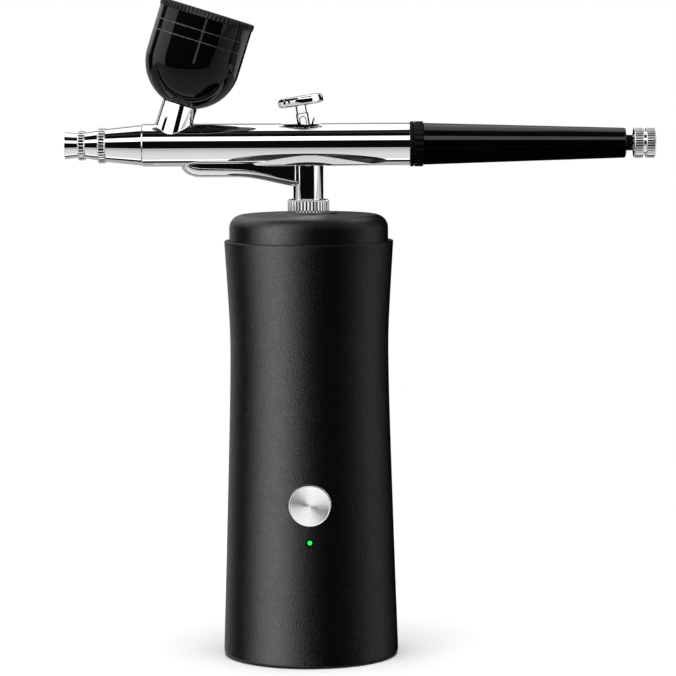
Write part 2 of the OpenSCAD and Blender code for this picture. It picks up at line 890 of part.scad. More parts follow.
module valve_spring() {
    color("#b9bcc0") translate([0, 0, chamber_z[0] + 0.17])
        coil(1.7, 0.15, valve_disc_z[0] - chamber_z[0] - 0.36, 4);
}

module valve_plunger() {
    color("#b08d4f") {
        bar_z([plunger_top - plunger_head, plunger_top], plunger_head_r);
        bar_z([valve_disc_z[1] - 0.2, plunger_top - 0.5], plunger_stem_r);
        bar_z(valve_disc_z, plunger_head_r);
    }
}

module coupling_oring() {
    color("#202020") translate([0, 0, fitting_z[1] + 0.4])
        rotate_extrude() translate([3.35, 0]) circle(0.35);
}

// ---- Trigger ----

// Finger pad with a longer front lip and a dished top
module trigger_pad() {
    difference() {
        union() {
            bar_z(pad_span, pad_r_out, [pad_shift, 0]);
            bar_z([pad_span[0] + 0.6, pad_span[1] - 0.2], lip_r, [pad_shift + lip_r - lip_reach, 0]);
            block([pad_shift + lip_r - lip_reach, -lip_r, pad_span[0] + 0.6], [0, lip_r, pad_span[1] - 0.2]);
        }
        translate([pad_shift, 0, pad_span[1] + 14.6]) sphere(15);
    }
}

module trigger() {
    color("#d5d7da") on_trigger_axis() difference() {
        union() {
            bar_y([-trigger_half[1], trigger_half[1]], trigger_half[0]);
            block([-trigger_half[0], -trigger_half[1], 0], [trigger_half[0], trigger_half[1], 14]);
            block([-trigger_neck[0], -trigger_neck[1], 13],
                [trigger_neck[0], trigger_neck[1], pad_span[0] + 0.3]);
            trigger_pad();
        }
        block([-5, -1, needle_slot[0]], [5, 1, needle_slot[1]]);
    }
}

// Thin lever behind the trigger, which rocks on the needle guide and pushes it back
module aux_lever() {
    back = trigger_half[0] + lever_gap;
    tip = [1.9, 153.4];
    foot_z = axis_z - 2.6;
    function face_x(z) = pivot[0] - (z - pivot[2]) * tan(trigger_lean) + back / cos(trigger_lean);
    color("#c4c6c9") difference() {
        union() {
            intersection() {
                rotate([90, 0, 0]) linear_extrude(8, center = true) polygon([
                    [face_x(foot_z), foot_z], [face_x(foot_z) + 0.8, foot_z],
                    [face_x(149.4) + 0.8, 149.4], [tip[0] + 0.35, tip[1] - 0.3], [tip[0], tip[1]],
                    [tip[0] - 0.45, tip[1] - 0.1], [face_x(149.4), 149.8]]);
                union() {
                    block([-10, -2.1, 130], [10, 2.1, 148.4]);
                    block([-10, -1, 148], [10, 1, 160]);
                }
            }
            bar_y([-2.9, 2.9], lever_pin_r, [lever_pin_x, axis_z]);
        }
        bar_x([-5, 10], needle_r + 0.35);
    }
}

// ---- Needle carriage and rear pieces ----

// Tube that carries the needle, with two ears that hold the auxiliary lever's pins
module needle_guide() {
    color("#b7b9bc") difference() {
        union() {
            bar_x([flange_x[0], flange_x[1]], 3.9);
            bar_x([flange_x[1] - cut, guide_rear], guide_r);
            for (side = [-1, 1])
                block([lever_pin_x - 0.8, side * lever_eye_y - 0.4, axis_z - 0.9],
                    [flange_x[0] + 0.3, side * lever_eye_y + 0.4, axis_z + 0.9]);
        }
        bar_x([0, guide_rear + cut], needle_r + 0.02);
        bar_y([-4, 4], lever_pin_r + 0.05, [lever_pin_x, axis_z]);
    }
}

module chuck_nut() {
    color("#b08d4f") difference() {
        bar_x([43.6, 51], 3.6);
        bar_x([40, guide_rear + 0.03], guide_r + fit);
        bar_x([40, 52], needle_r + 0.02);
    }
}

module needle_spring() {
    length = case_x[1] - 1.2 - flange_x[1] - 0.5;
    color("#b9bcc0") translate([flange_x[1] + 0.25, 0, axis_z]) rotate([0, 90, 0])
        coil(2.7, 0.2, length, 11);
}

module spring_case() {
    color("#c4c6c9") difference() {
        union() {
            bar_x([case_x[0], tube_rear], rear_bore_r - fit);
            bar_x([tube_rear - cut, case_x[1]], case_out_r);
        }
        bar_x([case_x[0] - cut, case_x[1] - 1.2], case_bore_r);
        bar_x([30, 45], guide_r + run);
    }
}

module lock_ring() {
    color("#141414") difference() {
        bar_x([ring_x[0] + 0.02, ring_x[1] - 0.02], ring_r);
        bar_x([20, 40], case_out_r + fit);
    }
}

module handle() {
    color("#0e0e10") difference() {
        bar_x([ring_x[1], handle_rear], handle_front_r, handle_rear_r);
        bar_x([ring_x[1] - cut, 42], case_out_r + fit);
        bar_x([40.5, 56], 4.3);
        bar_x([55, handle_rear + cut], rod_r + run);
    }
}

module limiter_rod() {
    color("#c4c6c9") bar_x(rod_x, rod_r);
}

module limiter_knob() {
    color("#d5d7da") difference() {
        union() {
            bar_x([knob_x[0], groove_x[0]], knob_r);
            bar_x([groove_x[0] - cut, groove_x[1] + cut], groove_r);
            bar_x([groove_x[1], knob_x[1]], knob_r);
        }
        bar_x([knob_x[0] - cut, rod_x[1] + 0.05], rod_r + 0.02);
    }
}

shell();
top_cap();
base_cover();
foot_pad();
small_screws();
inner_frame();
control_board();
board_screws();
tact_switch();
led_lens();
charge_port();
charge_board();
battery_cells();
battery_tabs();
wiring();
motor_can();
motor_endcap();
motor_bearings();
motor_magnets();
armature();
motor_shaft();
pump_housing();
eccentric_wheel();
wobble_pin();
wobble_plate();
diaphragm();
valve_plate();
umbrella_valves();
pump_cover();
pump_screws();
outlet_hose();
outlet_fitting();
fitting_nut();
coupling_nut();
power_button();
switch_plunger();
airbrush_body();
head_cone();
nozzle();
nozzle_cap();
needle_cap();
needle_packing();
paint_cup();
cup_lid();
valve_case();
valve_screw();
valve_spring();
valve_plunger();
coupling_oring();
trigger();
aux_lever();
needle();
needle_guide();
chuck_nut();
needle_spring();
spring_case();
lock_ring();
handle();
limiter_rod();
limiter_knob();
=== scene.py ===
"""Looks of a cordless airbrush compressor: visible shells, chrome airbrush parts and studio."""

import json
import math

import bpy
import numpy as np
from mathutils import Matrix, Vector
from mathutils.bvhtree import BVHTree


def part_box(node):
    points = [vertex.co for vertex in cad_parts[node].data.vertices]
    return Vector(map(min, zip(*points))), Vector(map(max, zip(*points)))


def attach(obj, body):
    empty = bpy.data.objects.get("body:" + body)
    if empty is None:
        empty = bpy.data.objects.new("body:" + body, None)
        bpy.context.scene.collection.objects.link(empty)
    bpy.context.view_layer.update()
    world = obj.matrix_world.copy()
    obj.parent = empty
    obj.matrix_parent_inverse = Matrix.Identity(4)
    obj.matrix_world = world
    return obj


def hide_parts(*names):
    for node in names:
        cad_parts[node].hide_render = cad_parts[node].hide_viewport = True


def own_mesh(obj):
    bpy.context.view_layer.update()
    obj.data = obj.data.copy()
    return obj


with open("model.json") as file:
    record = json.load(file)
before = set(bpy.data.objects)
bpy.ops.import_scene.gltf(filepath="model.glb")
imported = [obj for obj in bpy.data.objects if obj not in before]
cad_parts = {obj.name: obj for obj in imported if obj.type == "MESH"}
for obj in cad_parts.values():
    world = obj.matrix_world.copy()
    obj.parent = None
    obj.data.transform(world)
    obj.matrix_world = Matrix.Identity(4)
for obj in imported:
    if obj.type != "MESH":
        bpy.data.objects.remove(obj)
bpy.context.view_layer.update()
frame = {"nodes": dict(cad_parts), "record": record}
MM = 0.001


# ---- dimensions, in millimetres


def low_high(node):
    """Lowest and highest corner of a CAD node, in millimetres."""
    low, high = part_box(node)
    return Vector(low) / MM, Vector(high) / MM


SHELL_LOW, SHELL_HIGH = low_high("shell")
CAP_LOW, CAP_HIGH = low_high("top_cap")
BUTTON_LOW, BUTTON_HIGH = low_high("power_button")
LIGHT_LOW, LIGHT_HIGH = low_high("led_lens")
PORT_LOW, PORT_HIGH = low_high("charge_port")
NUT_LOW, NUT_HIGH = low_high("coupling_nut")
STEM_LOW, STEM_HIGH = low_high("valve_case")
RING_LOW, RING_HIGH = low_high("lock_ring")
HANDLE_LOW, HANDLE_HIGH = low_high("handle")
KNOB_LOW, KNOB_HIGH = low_high("limiter_knob")
HEAD_LOW, HEAD_HIGH = low_high("head_cone")
NOZZLE_CAP_LOW = low_high("nozzle_cap")[0]
NEEDLE_CAP_LOW = low_high("needle_cap")[0]

AXIS_Z = (RING_LOW.z + RING_HIGH.z) / 2
TUBE_R = 6.0
TUBE_FRONT = -46.85
TUBE_REAR = RING_LOW.x - 0.02
NOZZLE_RING_FRONT, NOZZLE_RING_REAR = -59.25, -57.1
FOOT_R = 24.94
WAIST_R = 22.46
WAIST_Z = 88.5
WAIST_SOFT = 0.53
RIM_R = 23.96
WALL = 2.0
CAP_R = 22.5
BUTTON_Z = (BUTTON_LOW.z + BUTTON_HIGH.z) / 2
BUTTON_R = 5.775
RING_PITCH = 0.0006
LIGHT_Z = (LIGHT_LOW.z + LIGHT_HIGH.z) / 2
PORT_Z = (PORT_LOW.z + PORT_HIGH.z) / 2
CUP_FOOT = Vector((-37.74, 0, 151.76))
CUP_LEAN = math.radians(17.5)
CUP_R = 13.4
SLOT_FRONT, SLOT_REAR = -8.0, 4.1
LEVER_SLOT_REAR, LEVER_SLOT_HALF = 7.6, 1.35
ABOVE_TUBE = 160.0
TRIGGER_PIVOT = Vector((0.3, 0, 141))
TRIGGER_LEAN = math.radians(9)

# Frames of turned pieces: the local Z axis is the piece's own axis
ALONG_Z = Matrix.Identity(4)
ALONG_X = Matrix.Translation((0, 0, AXIS_Z)) @ Matrix.Rotation(math.radians(90), 4, "Y")
ALONG_CUP = Matrix.Translation(CUP_FOOT) @ Matrix.Rotation(CUP_LEAN, 4, "Y")
ALONG_TRIGGER = Matrix.Translation(TRIGGER_PIVOT) @ Matrix.Rotation(-TRIGGER_LEAN, 4, "Y")
STEM_FRAME = ALONG_TRIGGER @ Matrix.Translation((0.1, 0, 0))


def facing_front(z):
    """Frame at height z whose local Z axis points to -Y, out of the case's front."""
    return Matrix.Translation((0, 0, z)) @ Matrix.Rotation(math.radians(90), 4, "X")


# ---- mesh tools


def smooth(t):
    """Smooth step from 0 to 1 for t from 0 to 1."""
    t = min(max(t, 0.0), 1.0)
    return t * t * (3 - 2 * t)


def rounded(points, steps=6):
    """Outline with its corners rounded. A point is (along, radius) or (along, radius, fillet)."""
    out = []
    count = len(points)
    for i, point in enumerate(points):
        here = Vector(point[:2])
        fillet = point[2] if len(point) > 2 else 0
        if not fillet:
            out.append(here)
            continue
        before = Vector(points[i - 1][:2]) - here
        after = Vector(points[(i + 1) % count][:2]) - here
        bend = before.angle(after)
        reach = fillet / math.tan(bend / 2)
        reach = min(reach, before.length * 0.48, after.length * 0.48)
        start = here + before.normalized() * reach
        end = here + after.normalized() * reach
        for k in range(steps + 1):
            t = k / steps
            out.append(start * (1 - t) ** 2 + here * (2 * t * (1 - t)) + end * t * t)
    return out


def add_mesh(name, vertices, faces, matrix=ALONG_Z, sharp=35):
    """New mesh object from points in millimetres, smooth except over edges sharper than an angle."""
    mesh = bpy.data.meshes.new(name)
    mesh.from_pydata([(matrix @ Vector(v)) * MM for v in vertices], [], faces)
    mesh.validate()
    mesh.shade_smooth()
    mesh.set_sharp_from_angle(angle=math.radians(sharp))
    piece = bpy.data.objects.new(name, mesh)
    bpy.context.scene.collection.objects.link(piece)
    return piece


def lathe(name, outline, matrix=ALONG_Z, segments=192, ribs=None, sharp=35):
    """Solid of revolution. The outline runs anticlockwise seen with radius to the right and along up.
    ribs(along, angle) gives how far the surface is cut below its radius."""
    vertices, rings = [], []
    for along, radius in outline:
        if radius < 1e-6:
            rings.append([len(vertices)])
            vertices.append((0, 0, along))
            continue
        ring = []
        for j in range(segments):
            angle = 2 * math.pi * j / segments
            r = radius - (ribs(along, angle) if ribs else 0)
            ring.append(len(vertices))
            vertices.append((r * math.cos(angle), r * math.sin(angle), along))
        rings.append(ring)
    faces = []
    for i, ring in enumerate(rings):
        above = rings[(i + 1) % len(rings)]
        if len(ring) == 1 and len(above) == 1:
            continue
        for j in range(segments):
            k = (j + 1) % segments
            if len(ring) == 1:
                faces.append((ring[0], above[k], above[j]))
            elif len(above) == 1:
                faces.append((ring[j], ring[k], above[0]))
            else:
                faces.append((ring[j], ring[k], above[k], above[j]))
    return add_mesh(name, vertices, faces, matrix, sharp)


def turned(name, points, matrix=ALONG_X, **options):
    """Lathe piece from an outline with corner fillets."""
    return lathe(name, rounded(points), matrix, **options)


def straight_ribs(count, depth, bands):
    """Knurl of flat-topped ridges along the axis, inside the given (low, high) bands."""

    def cut_depth(along, angle):
        for low, high in bands:
            if low < along < high:
                return depth * smooth((1 - abs(math.cos(count * angle / 2)) - 0.12) / 0.6)
        return 0

    return cut_depth


def knurled(name, points, matrix, count, depth, bands, per_rib=14):
    """Turned piece with straight ribs of a given depth in its bands."""
    ribs = straight_ribs(count, depth, bands)
    return lathe(name, rounded(points), matrix, segments=count * per_rib, ribs=ribs, sharp=40)


def arc(centre, off_axis, radius, angles):
    """Round stretch of an outline, at angles in degrees from straight out."""
    return [(centre + radius * math.sin(a), off_axis + radius * math.cos(a)) for a in np.radians(angles)]


def box_outline(low_x, high_x, half):
    """Rectangle in plan, the same on both sides of the middle plane."""
    return [(low_x, -half), (high_x, -half), (high_x, half), (low_x, half)]


def loft(name, loops, matrix=ALONG_Z, sharp=35):
    """Closed solid through loops of equal length, capped at both ends."""
    count = len(loops[0])
    vertices = [p for loop in loops for p in loop]
    faces = [tuple(reversed(range(count)))]
    for i in range(len(loops) - 1):
        for j in range(count):
            k = (j + 1) % count
            faces.append((i * count + j, i * count + k, (i + 1) * count + k, (i + 1) * count + j))
    faces.append(tuple((len(loops) - 1) * count + j for j in range(count)))
    return add_mesh(name, vertices, faces, matrix, sharp)


def prism(name, outline, low, high, edge=0.0, matrix=ALONG_Z, sharp=35, steps=4):
    """Plate with a convex plan outline and rounded upper and lower edges."""
    count = len(outline)
    normals = []
    for i in range(count):
        along = Vector(outline[(i + 1) % count]) - Vector(outline[i - 1])
        normals.append(Vector((along.y, -along.x)).normalized())
    if edge:
        levels = [(low + edge * (1 - math.cos(a)), edge * (1 - math.sin(a)))
                  for a in [math.pi / 2 * k / steps for k in range(steps + 1)]]
        levels += [(low + high - z, inset) for z, inset in reversed(levels)]
    else:
        levels = [(low, 0), (high, 0)]
    loops = []
    for z, inset in levels:
        loops.append([(p[0] - n.x * inset, p[1] - n.y * inset, z) for p, n in zip(outline, normals)])
    return loft(name, loops, matrix, sharp)


def combine(piece, tool, operation="DIFFERENCE", sharp=35):
    """Cuts tool out of piece, or joins it on, keeping each surface's own smooth normals."""
    sources = [surface_copy(piece), surface_copy(tool)]
    modifier = piece.modifiers.new("combine", "BOOLEAN")
    modifier.operation = operation
    modifier.solver = "EXACT"
    modifier.object = tool
    bpy.context.view_layer.update()
    result = piece.evaluated_get(bpy.context.evaluated_depsgraph_get())
    mesh = bpy.data.meshes.new_from_object(result)
    piece.modifiers.clear()
    piece.data = mesh
    bpy.data.objects.remove(tool)
    mesh.shade_smooth()
    mesh.set_sharp_from_angle(angle=math.radians(sharp))
    keep_normals(mesh, sources)


def surface_copy(piece):
    """Triangles of a piece, with their corner normals, to look normals up in."""
    mesh = piece.data
    mesh.calc_loop_triangles()
    points = [v.co.copy() for v in mesh.vertices]
    triangles = [tuple(t.vertices) for t in mesh.loop_triangles]
    normals = [[Vector(mesh.corner_normals[i].vector) for i in t.loops] for t in mesh.loop_triangles]
    return points, triangles, normals, BVHTree.FromPolygons(points, triangles)


def keep_normals(mesh, sources):
    """Gives each corner the smooth normal that its surface had before pieces were combined."""
    wanted = []
    for polygon in mesh.polygons:
        best = None
        for source in sources:
            gap = source[3].find_nearest(polygon.center)[3]
            if best is None or gap < best[0]:
                best = (gap, source)
        points, triangles, normals, tree = best[1]
        for corner in polygon.loop_indices:
            spot = mesh.vertices[mesh.loops[corner].vertex_index].co
            probe = spot.lerp(polygon.center, 0.02)
            hit, _, index, _ = tree.find_nearest(probe)
            a, b, c = (points[i] for i in triangles[index])
            whole = (b - a).cross(c - a)
            area = max(whole.length_squared, 1e-30)
            share_a = (b - hit).cross(c - hit).dot(whole) / area
            share_b = (c - hit).cross(a - hit).dot(whole) / area
            at_a, at_b, at_c = normals[index]
            normal = (at_a * share_a + at_b * share_b + at_c * (1 - share_a - share_b)).normalized()
            if normal.dot(polygon.normal) < 0:
                normal = -normal
            wanted.append(normal)
    mesh.normals_split_custom_set(wanted)


def finish_chrome(piece, *nodes):
    """Finishes a chrome piece that is fixed to the airbrush."""
    return finish_piece(piece, CHROME, "airbrush", "airbrush_chrome", *nodes)


def paint_groove_shade(piece, frame_matrix, bands, limit):
    """Gives the painted shade material to faces inside the bands that lie below a radius: the dark groove
    bottoms are painted shade.
    """
    piece.data.materials.append(GROOVE_SHADE)
    back = frame_matrix.inverted()
    for face in piece.data.polygons:
        spot = back @ (face.center / MM)
        in_band = any(low < spot.z < high for low, high in bands)
        if in_band and math.hypot(spot.x, spot.y) < limit:
            face.material_index = 1


def finish_piece(piece, material, body, slot, *nodes):
    """Gives a piece its material and its body, and hides the CAD nodes that it stands for."""
    piece.data.materials.clear()
    piece.data.materials.append(material)
    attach(piece, body)
    if nodes:
        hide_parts(*nodes)
    return piece


# ---- materials


class Graph:
    """A small helper that adds and links shader nodes."""

    def __init__(self, tree):
        self.tree = tree
        self.tree.nodes.clear()

    def node(self, kind, **values):
        """New shader node with some of its inputs and settings given."""
        made = self.tree.nodes.new(kind)
        for key, value in values.items():
            if key in made.inputs:
                made.inputs[key].default_value = value
            else:
                setattr(made, key, value)
        return made

    def at(self, place, kind, **values):
        """Node that takes a place as its vector."""
        made = self.node(kind, **values)
        self.link(place, made.inputs["Vector"])
        return made

    def link(self, source, target):
        self.tree.links.new(source, target)

    def math(self, operation, a, b=0.0):
        """Result of a sum on numbers or outputs."""
        made = self.node("ShaderNodeMath", operation=operation)
        for socket, value in zip(made.inputs, (a, b)):
            if isinstance(value, (int, float)):
                socket.default_value = value
            else:
                self.link(value, socket)
        return made.outputs[0]

    def remap(self, value, low, high, out_low=0.0, out_high=1.0, interpolation="SMOOTHSTEP"):
        """Output that goes from one limit to the other while the value goes from low to high."""
        made = self.node("ShaderNodeMapRange", interpolation_type=interpolation)
        self.link(value, made.inputs["Value"])
        limits = {"From Min": low, "From Max": high, "To Min": out_low, "To Max": out_high}
        for name, number in limits.items():
            made.inputs[name].default_value = number
        return made.outputs["Result"]

    def grey(self, level, *targets):
        """Carries one brightness to colour inputs."""
        made = self.node("ShaderNodeCombineColor")
        for socket in made.inputs[:3]:
            self.link(level, socket)
        for target in targets:
            self.link(made.outputs[0], target)

    def mixed(self, share, first, second):
        """Shader that goes from the first one to the second one."""
        made = self.node("ShaderNodeMixShader")
        for source, socket in zip((share, first, second), made.inputs):
            self.link(source, socket)
        return made.outputs[0]

    def added(self, first, second):
        """Sum of two shaders."""
        made = self.node("ShaderNodeAddShader")
        self.link(first, made.inputs[0])
        self.link(second, made.inputs[1])
        return made.outputs[0]

    def inside(self, value, low, high, soft):
        """1 between low and high, fading to 0 over a soft edge."""
        rise = self.remap(value, low - soft, low + soft)
        fall = self.remap(value, high - soft, high + soft, 1.0, 0.0)
        return self.math("MULTIPLY", rise, fall)


def new_material(name):
    """Empty node material: the material, its graph, its output and the object's own coordinates."""
    material = bpy.data.materials.new(name)
    material.use_nodes = True
    g = Graph(material.node_tree)
    return material, g, g.node("ShaderNodeOutputMaterial"), g.node("ShaderNodeTexCoord").outputs["Object"]


def grained(name, color, metallic=0.0, roughness=0.4, spread=0.06, shade=0.1, grain=1200.0, depth=0.0,
            stretch=(1, 1, 1), blotch=60.0):
    """Material with fine grain in its relief and slow variation in its colour and roughness."""
    material, g, output, place = new_material(name)
    shader = g.node("ShaderNodeBsdfPrincipled", Metallic=metallic)
    g.link(shader.outputs[0], output.inputs["Surface"])
    mapping = g.at(place, "ShaderNodeMapping", Scale=stretch)
    fine = g.at(mapping.outputs[0], "ShaderNodeTexNoise", Scale=grain, Detail=3.0, Roughness=0.6)
    slow = g.at(place, "ShaderNodeTexNoise", Scale=blotch, Detail=4.0, Roughness=0.55)
    tone = g.node("ShaderNodeMix", data_type="RGBA", blend_type="MIX")
    g.link(slow.outputs[0], tone.inputs[0])
    tone.inputs[6].default_value = (*[c * (1 - shade) for c in color], 1)
    tone.inputs[7].default_value = (*[min(c * (1 + shade), 1) for c in color], 1)
    g.link(tone.outputs[2], shader.inputs["Base Color"])
    rough = g.remap(slow.outputs[0], 0.3, 0.7, max(roughness - spread, 0.0), roughness + spread, "LINEAR")
    g.link(rough, shader.inputs["Roughness"])
    if depth:
        bump = g.node("ShaderNodeBump", Strength=1.0, Distance=depth)
        g.link(fine.outputs[0], bump.inputs["Height"])
        g.link(bump.outputs[0], shader.inputs["Normal"])
    return material, g, shader


def satin_paint(name, gloss, roughness, depth):
    """Satin black powder coat: soft even sheen over a fine leathery grain with brighter specks."""
    material, g, output, place = new_material(name)
    cells = g.at(place, "ShaderNodeTexVoronoi", Scale=2500.0)
    fine = g.at(place, "ShaderNodeTexNoise", Scale=3300.0, Detail=2.0, Roughness=0.6)
    height = g.math("ADD", g.math("MULTIPLY", cells.outputs["Distance"], 0.7), fine.outputs[0])
    bump = g.node("ShaderNodeBump", Strength=1.0, Distance=depth)
    g.link(height, bump.inputs["Height"])
    slow = g.at(place, "ShaderNodeTexNoise", Scale=2000.0, Detail=3.0, Roughness=0.7)
    sheen = g.node("ShaderNodeBsdfAnisotropic", distribution="BECKMANN", Roughness=roughness)
    g.grey(g.remap(slow.outputs[0], 0.3, 0.7, gloss * 0.72, gloss * 1.28, "LINEAR"), sheen.inputs["Color"])
    g.link(bump.outputs[0], sheen.inputs["Normal"])
    base = g.node("ShaderNodeBsdfDiffuse", Color=(0.006, 0.006, 0.0063, 1))
    g.link(g.added(sheen.outputs[0], base.outputs[0]), output.inputs["Surface"])
    return material


def lacquer(name, base, reflect, underside):
    """Mirror-smooth black lacquer. Its downward faces mirror only a share of what the others do, which is
    painted shade on its undersides.
    """
    material, g, output, place = new_material(name)
    ripple = g.at(place, "ShaderNodeTexNoise", Scale=500.0, Detail=2.0)
    bump = g.node("ShaderNodeBump", Strength=1.0, Distance=0.0000012)
    g.link(ripple.outputs[0], bump.inputs["Height"])
    facing = g.node("ShaderNodeFresnel", IOR=1.45)
    g.link(bump.outputs[0], facing.inputs["Normal"])
    split = g.at(g.node("ShaderNodeNewGeometry").outputs["Normal"], "ShaderNodeSeparateXYZ")
    # Painted shade: faces that point down mirror less
    share = g.remap(split.outputs[2], -0.25, 0.2, underside, 1.0)
    mirror = g.node("ShaderNodeBsdfAnisotropic", Roughness=0.0)
    g.grey(g.math("MULTIPLY", g.math("MULTIPLY", facing.outputs[0], reflect), share), mirror.inputs["Color"])
    g.link(bump.outputs[0], mirror.inputs["Normal"])
    cloud = g.at(place, "ShaderNodeTexNoise", Scale=80.0, Detail=4.0)
    body = g.node("ShaderNodeBsdfDiffuse")
    g.grey(g.remap(cloud.outputs[0], 0.3, 0.7, base * 0.8, base * 1.2, "LINEAR"), body.inputs["Color"])
    g.link(g.added(mirror.outputs[0], body.outputs[0]), output.inputs["Surface"])
    return material


def spun_metal():
    """Bright metal turned in circles: fine rings, and a highlight that fans out from the centre."""
    material, g, shader = grained("spun_metal", (0.86, 0.86, 0.88), metallic=1.0, roughness=0.3, spread=0.03)
    place = g.node("ShaderNodeTexCoord").outputs["Object"]
    mapping = g.at(place, "ShaderNodeMapping", Location=(0, 0, -BUTTON_Z * MM))
    rings = g.at(mapping.outputs[0], "ShaderNodeTexWave", wave_type="RINGS", rings_direction="Y",
                 Scale=math.pi / 10 / RING_PITCH)
    g.grey(g.remap(rings.outputs["Fac"], 0.0, 1.0, 0.74, 0.94), shader.inputs["Base Color"])
    tangent = g.node("ShaderNodeTangent", direction_type="RADIAL", axis="Y")
    g.link(tangent.outputs[0], shader.inputs["Tangent"])
    shader.inputs["Anisotropic"].default_value = 0.85
    return material


def chrome_with_painted_dark_rim(name):
    """Chrome with a painted dark rim: its colour turns dark where the surface is seen at a glance, painted
    shade for the dark reflections at its edges.
    """
    material, g, shader = grained(name, (0.96, 0.96, 0.965), metallic=1.0, roughness=0.0, spread=0.0)
    facing = g.node("ShaderNodeLayerWeight", Blend=0.5)
    # Painted shade: the colour falls to near black where the surface turns away from the view
    tone = g.remap(facing.outputs["Facing"], 0.28, 0.42, 0.96, 0.02)
    g.grey(tone, shader.inputs["Base Color"], shader.inputs["Specular Tint"])
    return material


def glowing(name, color, strength):
    """Clear coloured lens lit from behind, brighter in its middle."""
    material, g, shader = grained(name, color, roughness=0.15, spread=0.02, shade=0.1)
    facing = g.node("ShaderNodeLayerWeight", Blend=0.35)
    glow = g.remap(facing.outputs["Facing"], 0.0, 0.8, strength, strength * 0.25)
    g.link(glow, shader.inputs["Emission Strength"])
    shader.inputs["Emission Color"].default_value = (*color, 1)
    return material


CHROME = grained("mirror_chrome", (0.96, 0.96, 0.965), metallic=1.0, roughness=0.0, spread=0.0, shade=0.015,
                 grain=300.0, depth=0.0000008, blotch=35.0)[0]
KNURL_CHROME = grained("knurl_chrome", (0.92, 0.92, 0.93), metallic=1.0, roughness=0.0, spread=0.0,
                       shade=0.05, grain=900.0, depth=0.0000015)[0]
CASE_BLACK = satin_paint("satin_black", 0.3, 0.46, 0.00008)
CAP_BLACK = satin_paint("cap_black", 0.31, 0.47, 0.00004)
# Black lacquers; the last number is the share of reflection a downward face keeps, painted shade on the
# undersides
CUP_BLACK_PAINTED_SHADE_BELOW = lacquer("cup_black", 0.004, 0.65, 0.8)
HANDLE_BLACK_PAINTED_SHADE_BELOW = lacquer("handle_black", 0.002, 1.0, 0.02)
SCRIBE_GREY = grained("scribe_grey", (0.2, 0.2, 0.2), roughness=0.4)[0]
# Near-black for the ring in the trigger's slot: painted shade in the slot
SLOT_SHADE_BLACK = grained("slot_painted_shade", (0.006, 0.006, 0.006), roughness=0.5, depth=0.00001)[0]
# Near-black metal for groove bottoms and cut lines: painted shade in recesses
GROOVE_SHADE = grained("groove_painted_shade", (0.02, 0.02, 0.021), metallic=1.0, roughness=0.4)[0]
# Near-black metal for the tube's bores and the slot's walls: painted shade inside the tube
BORE_SHADE = grained("bore_painted_shade", (0.03, 0.03, 0.032), metallic=1.0, roughness=0.5)[0]
RING_BLACK = grained("ring_black", (0.012, 0.012, 0.013), roughness=0.22, spread=0.05, shade=0.2,
                     grain=2600.0, depth=0.00001)[0]
# Chrome for the trigger's stem and the lever, with a painted dark rim where it is seen at a glance
STEM_CHROME_PAINTED_RIM = chrome_with_painted_dark_rim("stem_chrome_painted_rim")
SPUN = spun_metal()
LENS_GREEN = glowing("lens_green", (0.03, 1.0, 0.12), 1.1)
RING_GREEN = grained("ring_green", (0.004, 0.05, 0.008), roughness=0.3)[0]
STEEL = grained("ground_steel", (0.62, 0.62, 0.64), metallic=1.0, roughness=0.2, spread=0.05, shade=0.06,
                grain=1500.0, depth=0.000004, stretch=(0.1, 1, 1))[0]


METALS = ("brushed_steel", "chrome", "aluminium", "brass", "cast_iron")
ROUGHNESS = {
    "rubber": 0.75,
    "matte_plastic": 0.5,
    "gloss_plastic": 0.2,
    "chrome": 0.06,
    "brass": 0.22,
    "brushed_steel": 0.3,
    "cast_iron": 0.6,
    "aluminium": 0.3,
    "painted_metal": 0.3,
}
GRAIN_DEPTH = {"rubber": 0.00004, "matte_plastic": 0.00002}


def slot_materials():
    """One procedural material for each of the record's slots, for CAD pieces shown as they are."""
    made = {}
    for entry in frame["record"]["materials"]:
        kind = entry["class"]
        metal = 1.0 if kind in METALS else 0.0
        rough = ROUGHNESS.get(kind, 0.4)
        depth = GRAIN_DEPTH.get(kind, 0.000005)
        made[entry["slot"]] = grained("slot_" + entry["slot"], entry["base_color"][:3], metallic=metal,
                                      roughness=rough, grain=1800.0, depth=depth)[0]
    return made


def paint_cad_nodes():
    """Carries the slot materials to every CAD node."""
    made = slot_materials()
    for entry in frame["record"]["subparts"]:
        node = frame["nodes"][entry["node"]]
        node.data.materials.clear()
        node.data.materials.append(made[entry["material_slot"]])


# ---- case


def case_r(z):
    """Radius of the case at a height: two slopes that meet softly at the waist."""
    end_r, end_z = (FOOT_R, SHELL_LOW.z) if z < WAIST_Z else (RIM_R, SHELL_HIGH.z)
    slope = math.sqrt((end_r - WAIST_R + WAIST_SOFT) ** 2 - WAIST_SOFT**2) / abs(end_z - WAIST_Z)
    return WAIST_R - WAIST_SOFT + math.hypot(WAIST_SOFT, slope * (z - WAIST_Z))


def rounded_bar(name, half, radius, low, high, matrix):
    """Bar with a stadium-shaped section, long along local X."""
    outline = []
    for side in (1, -1):
        for k in range(17):
            a = math.pi * k / 16 - math.pi / 2 + (0 if side > 0 else math.pi)
            outline.append((side * (half - radius) + radius * math.cos(a), radius * math.sin(a)))
    return prism(name, outline, low, high, matrix=matrix)


def rod_outline(radius, low, high):
    """Outline of a plain rod between two places on its axis."""
    return [(low, 0), (low, radius), (high, radius), (high, 0)]


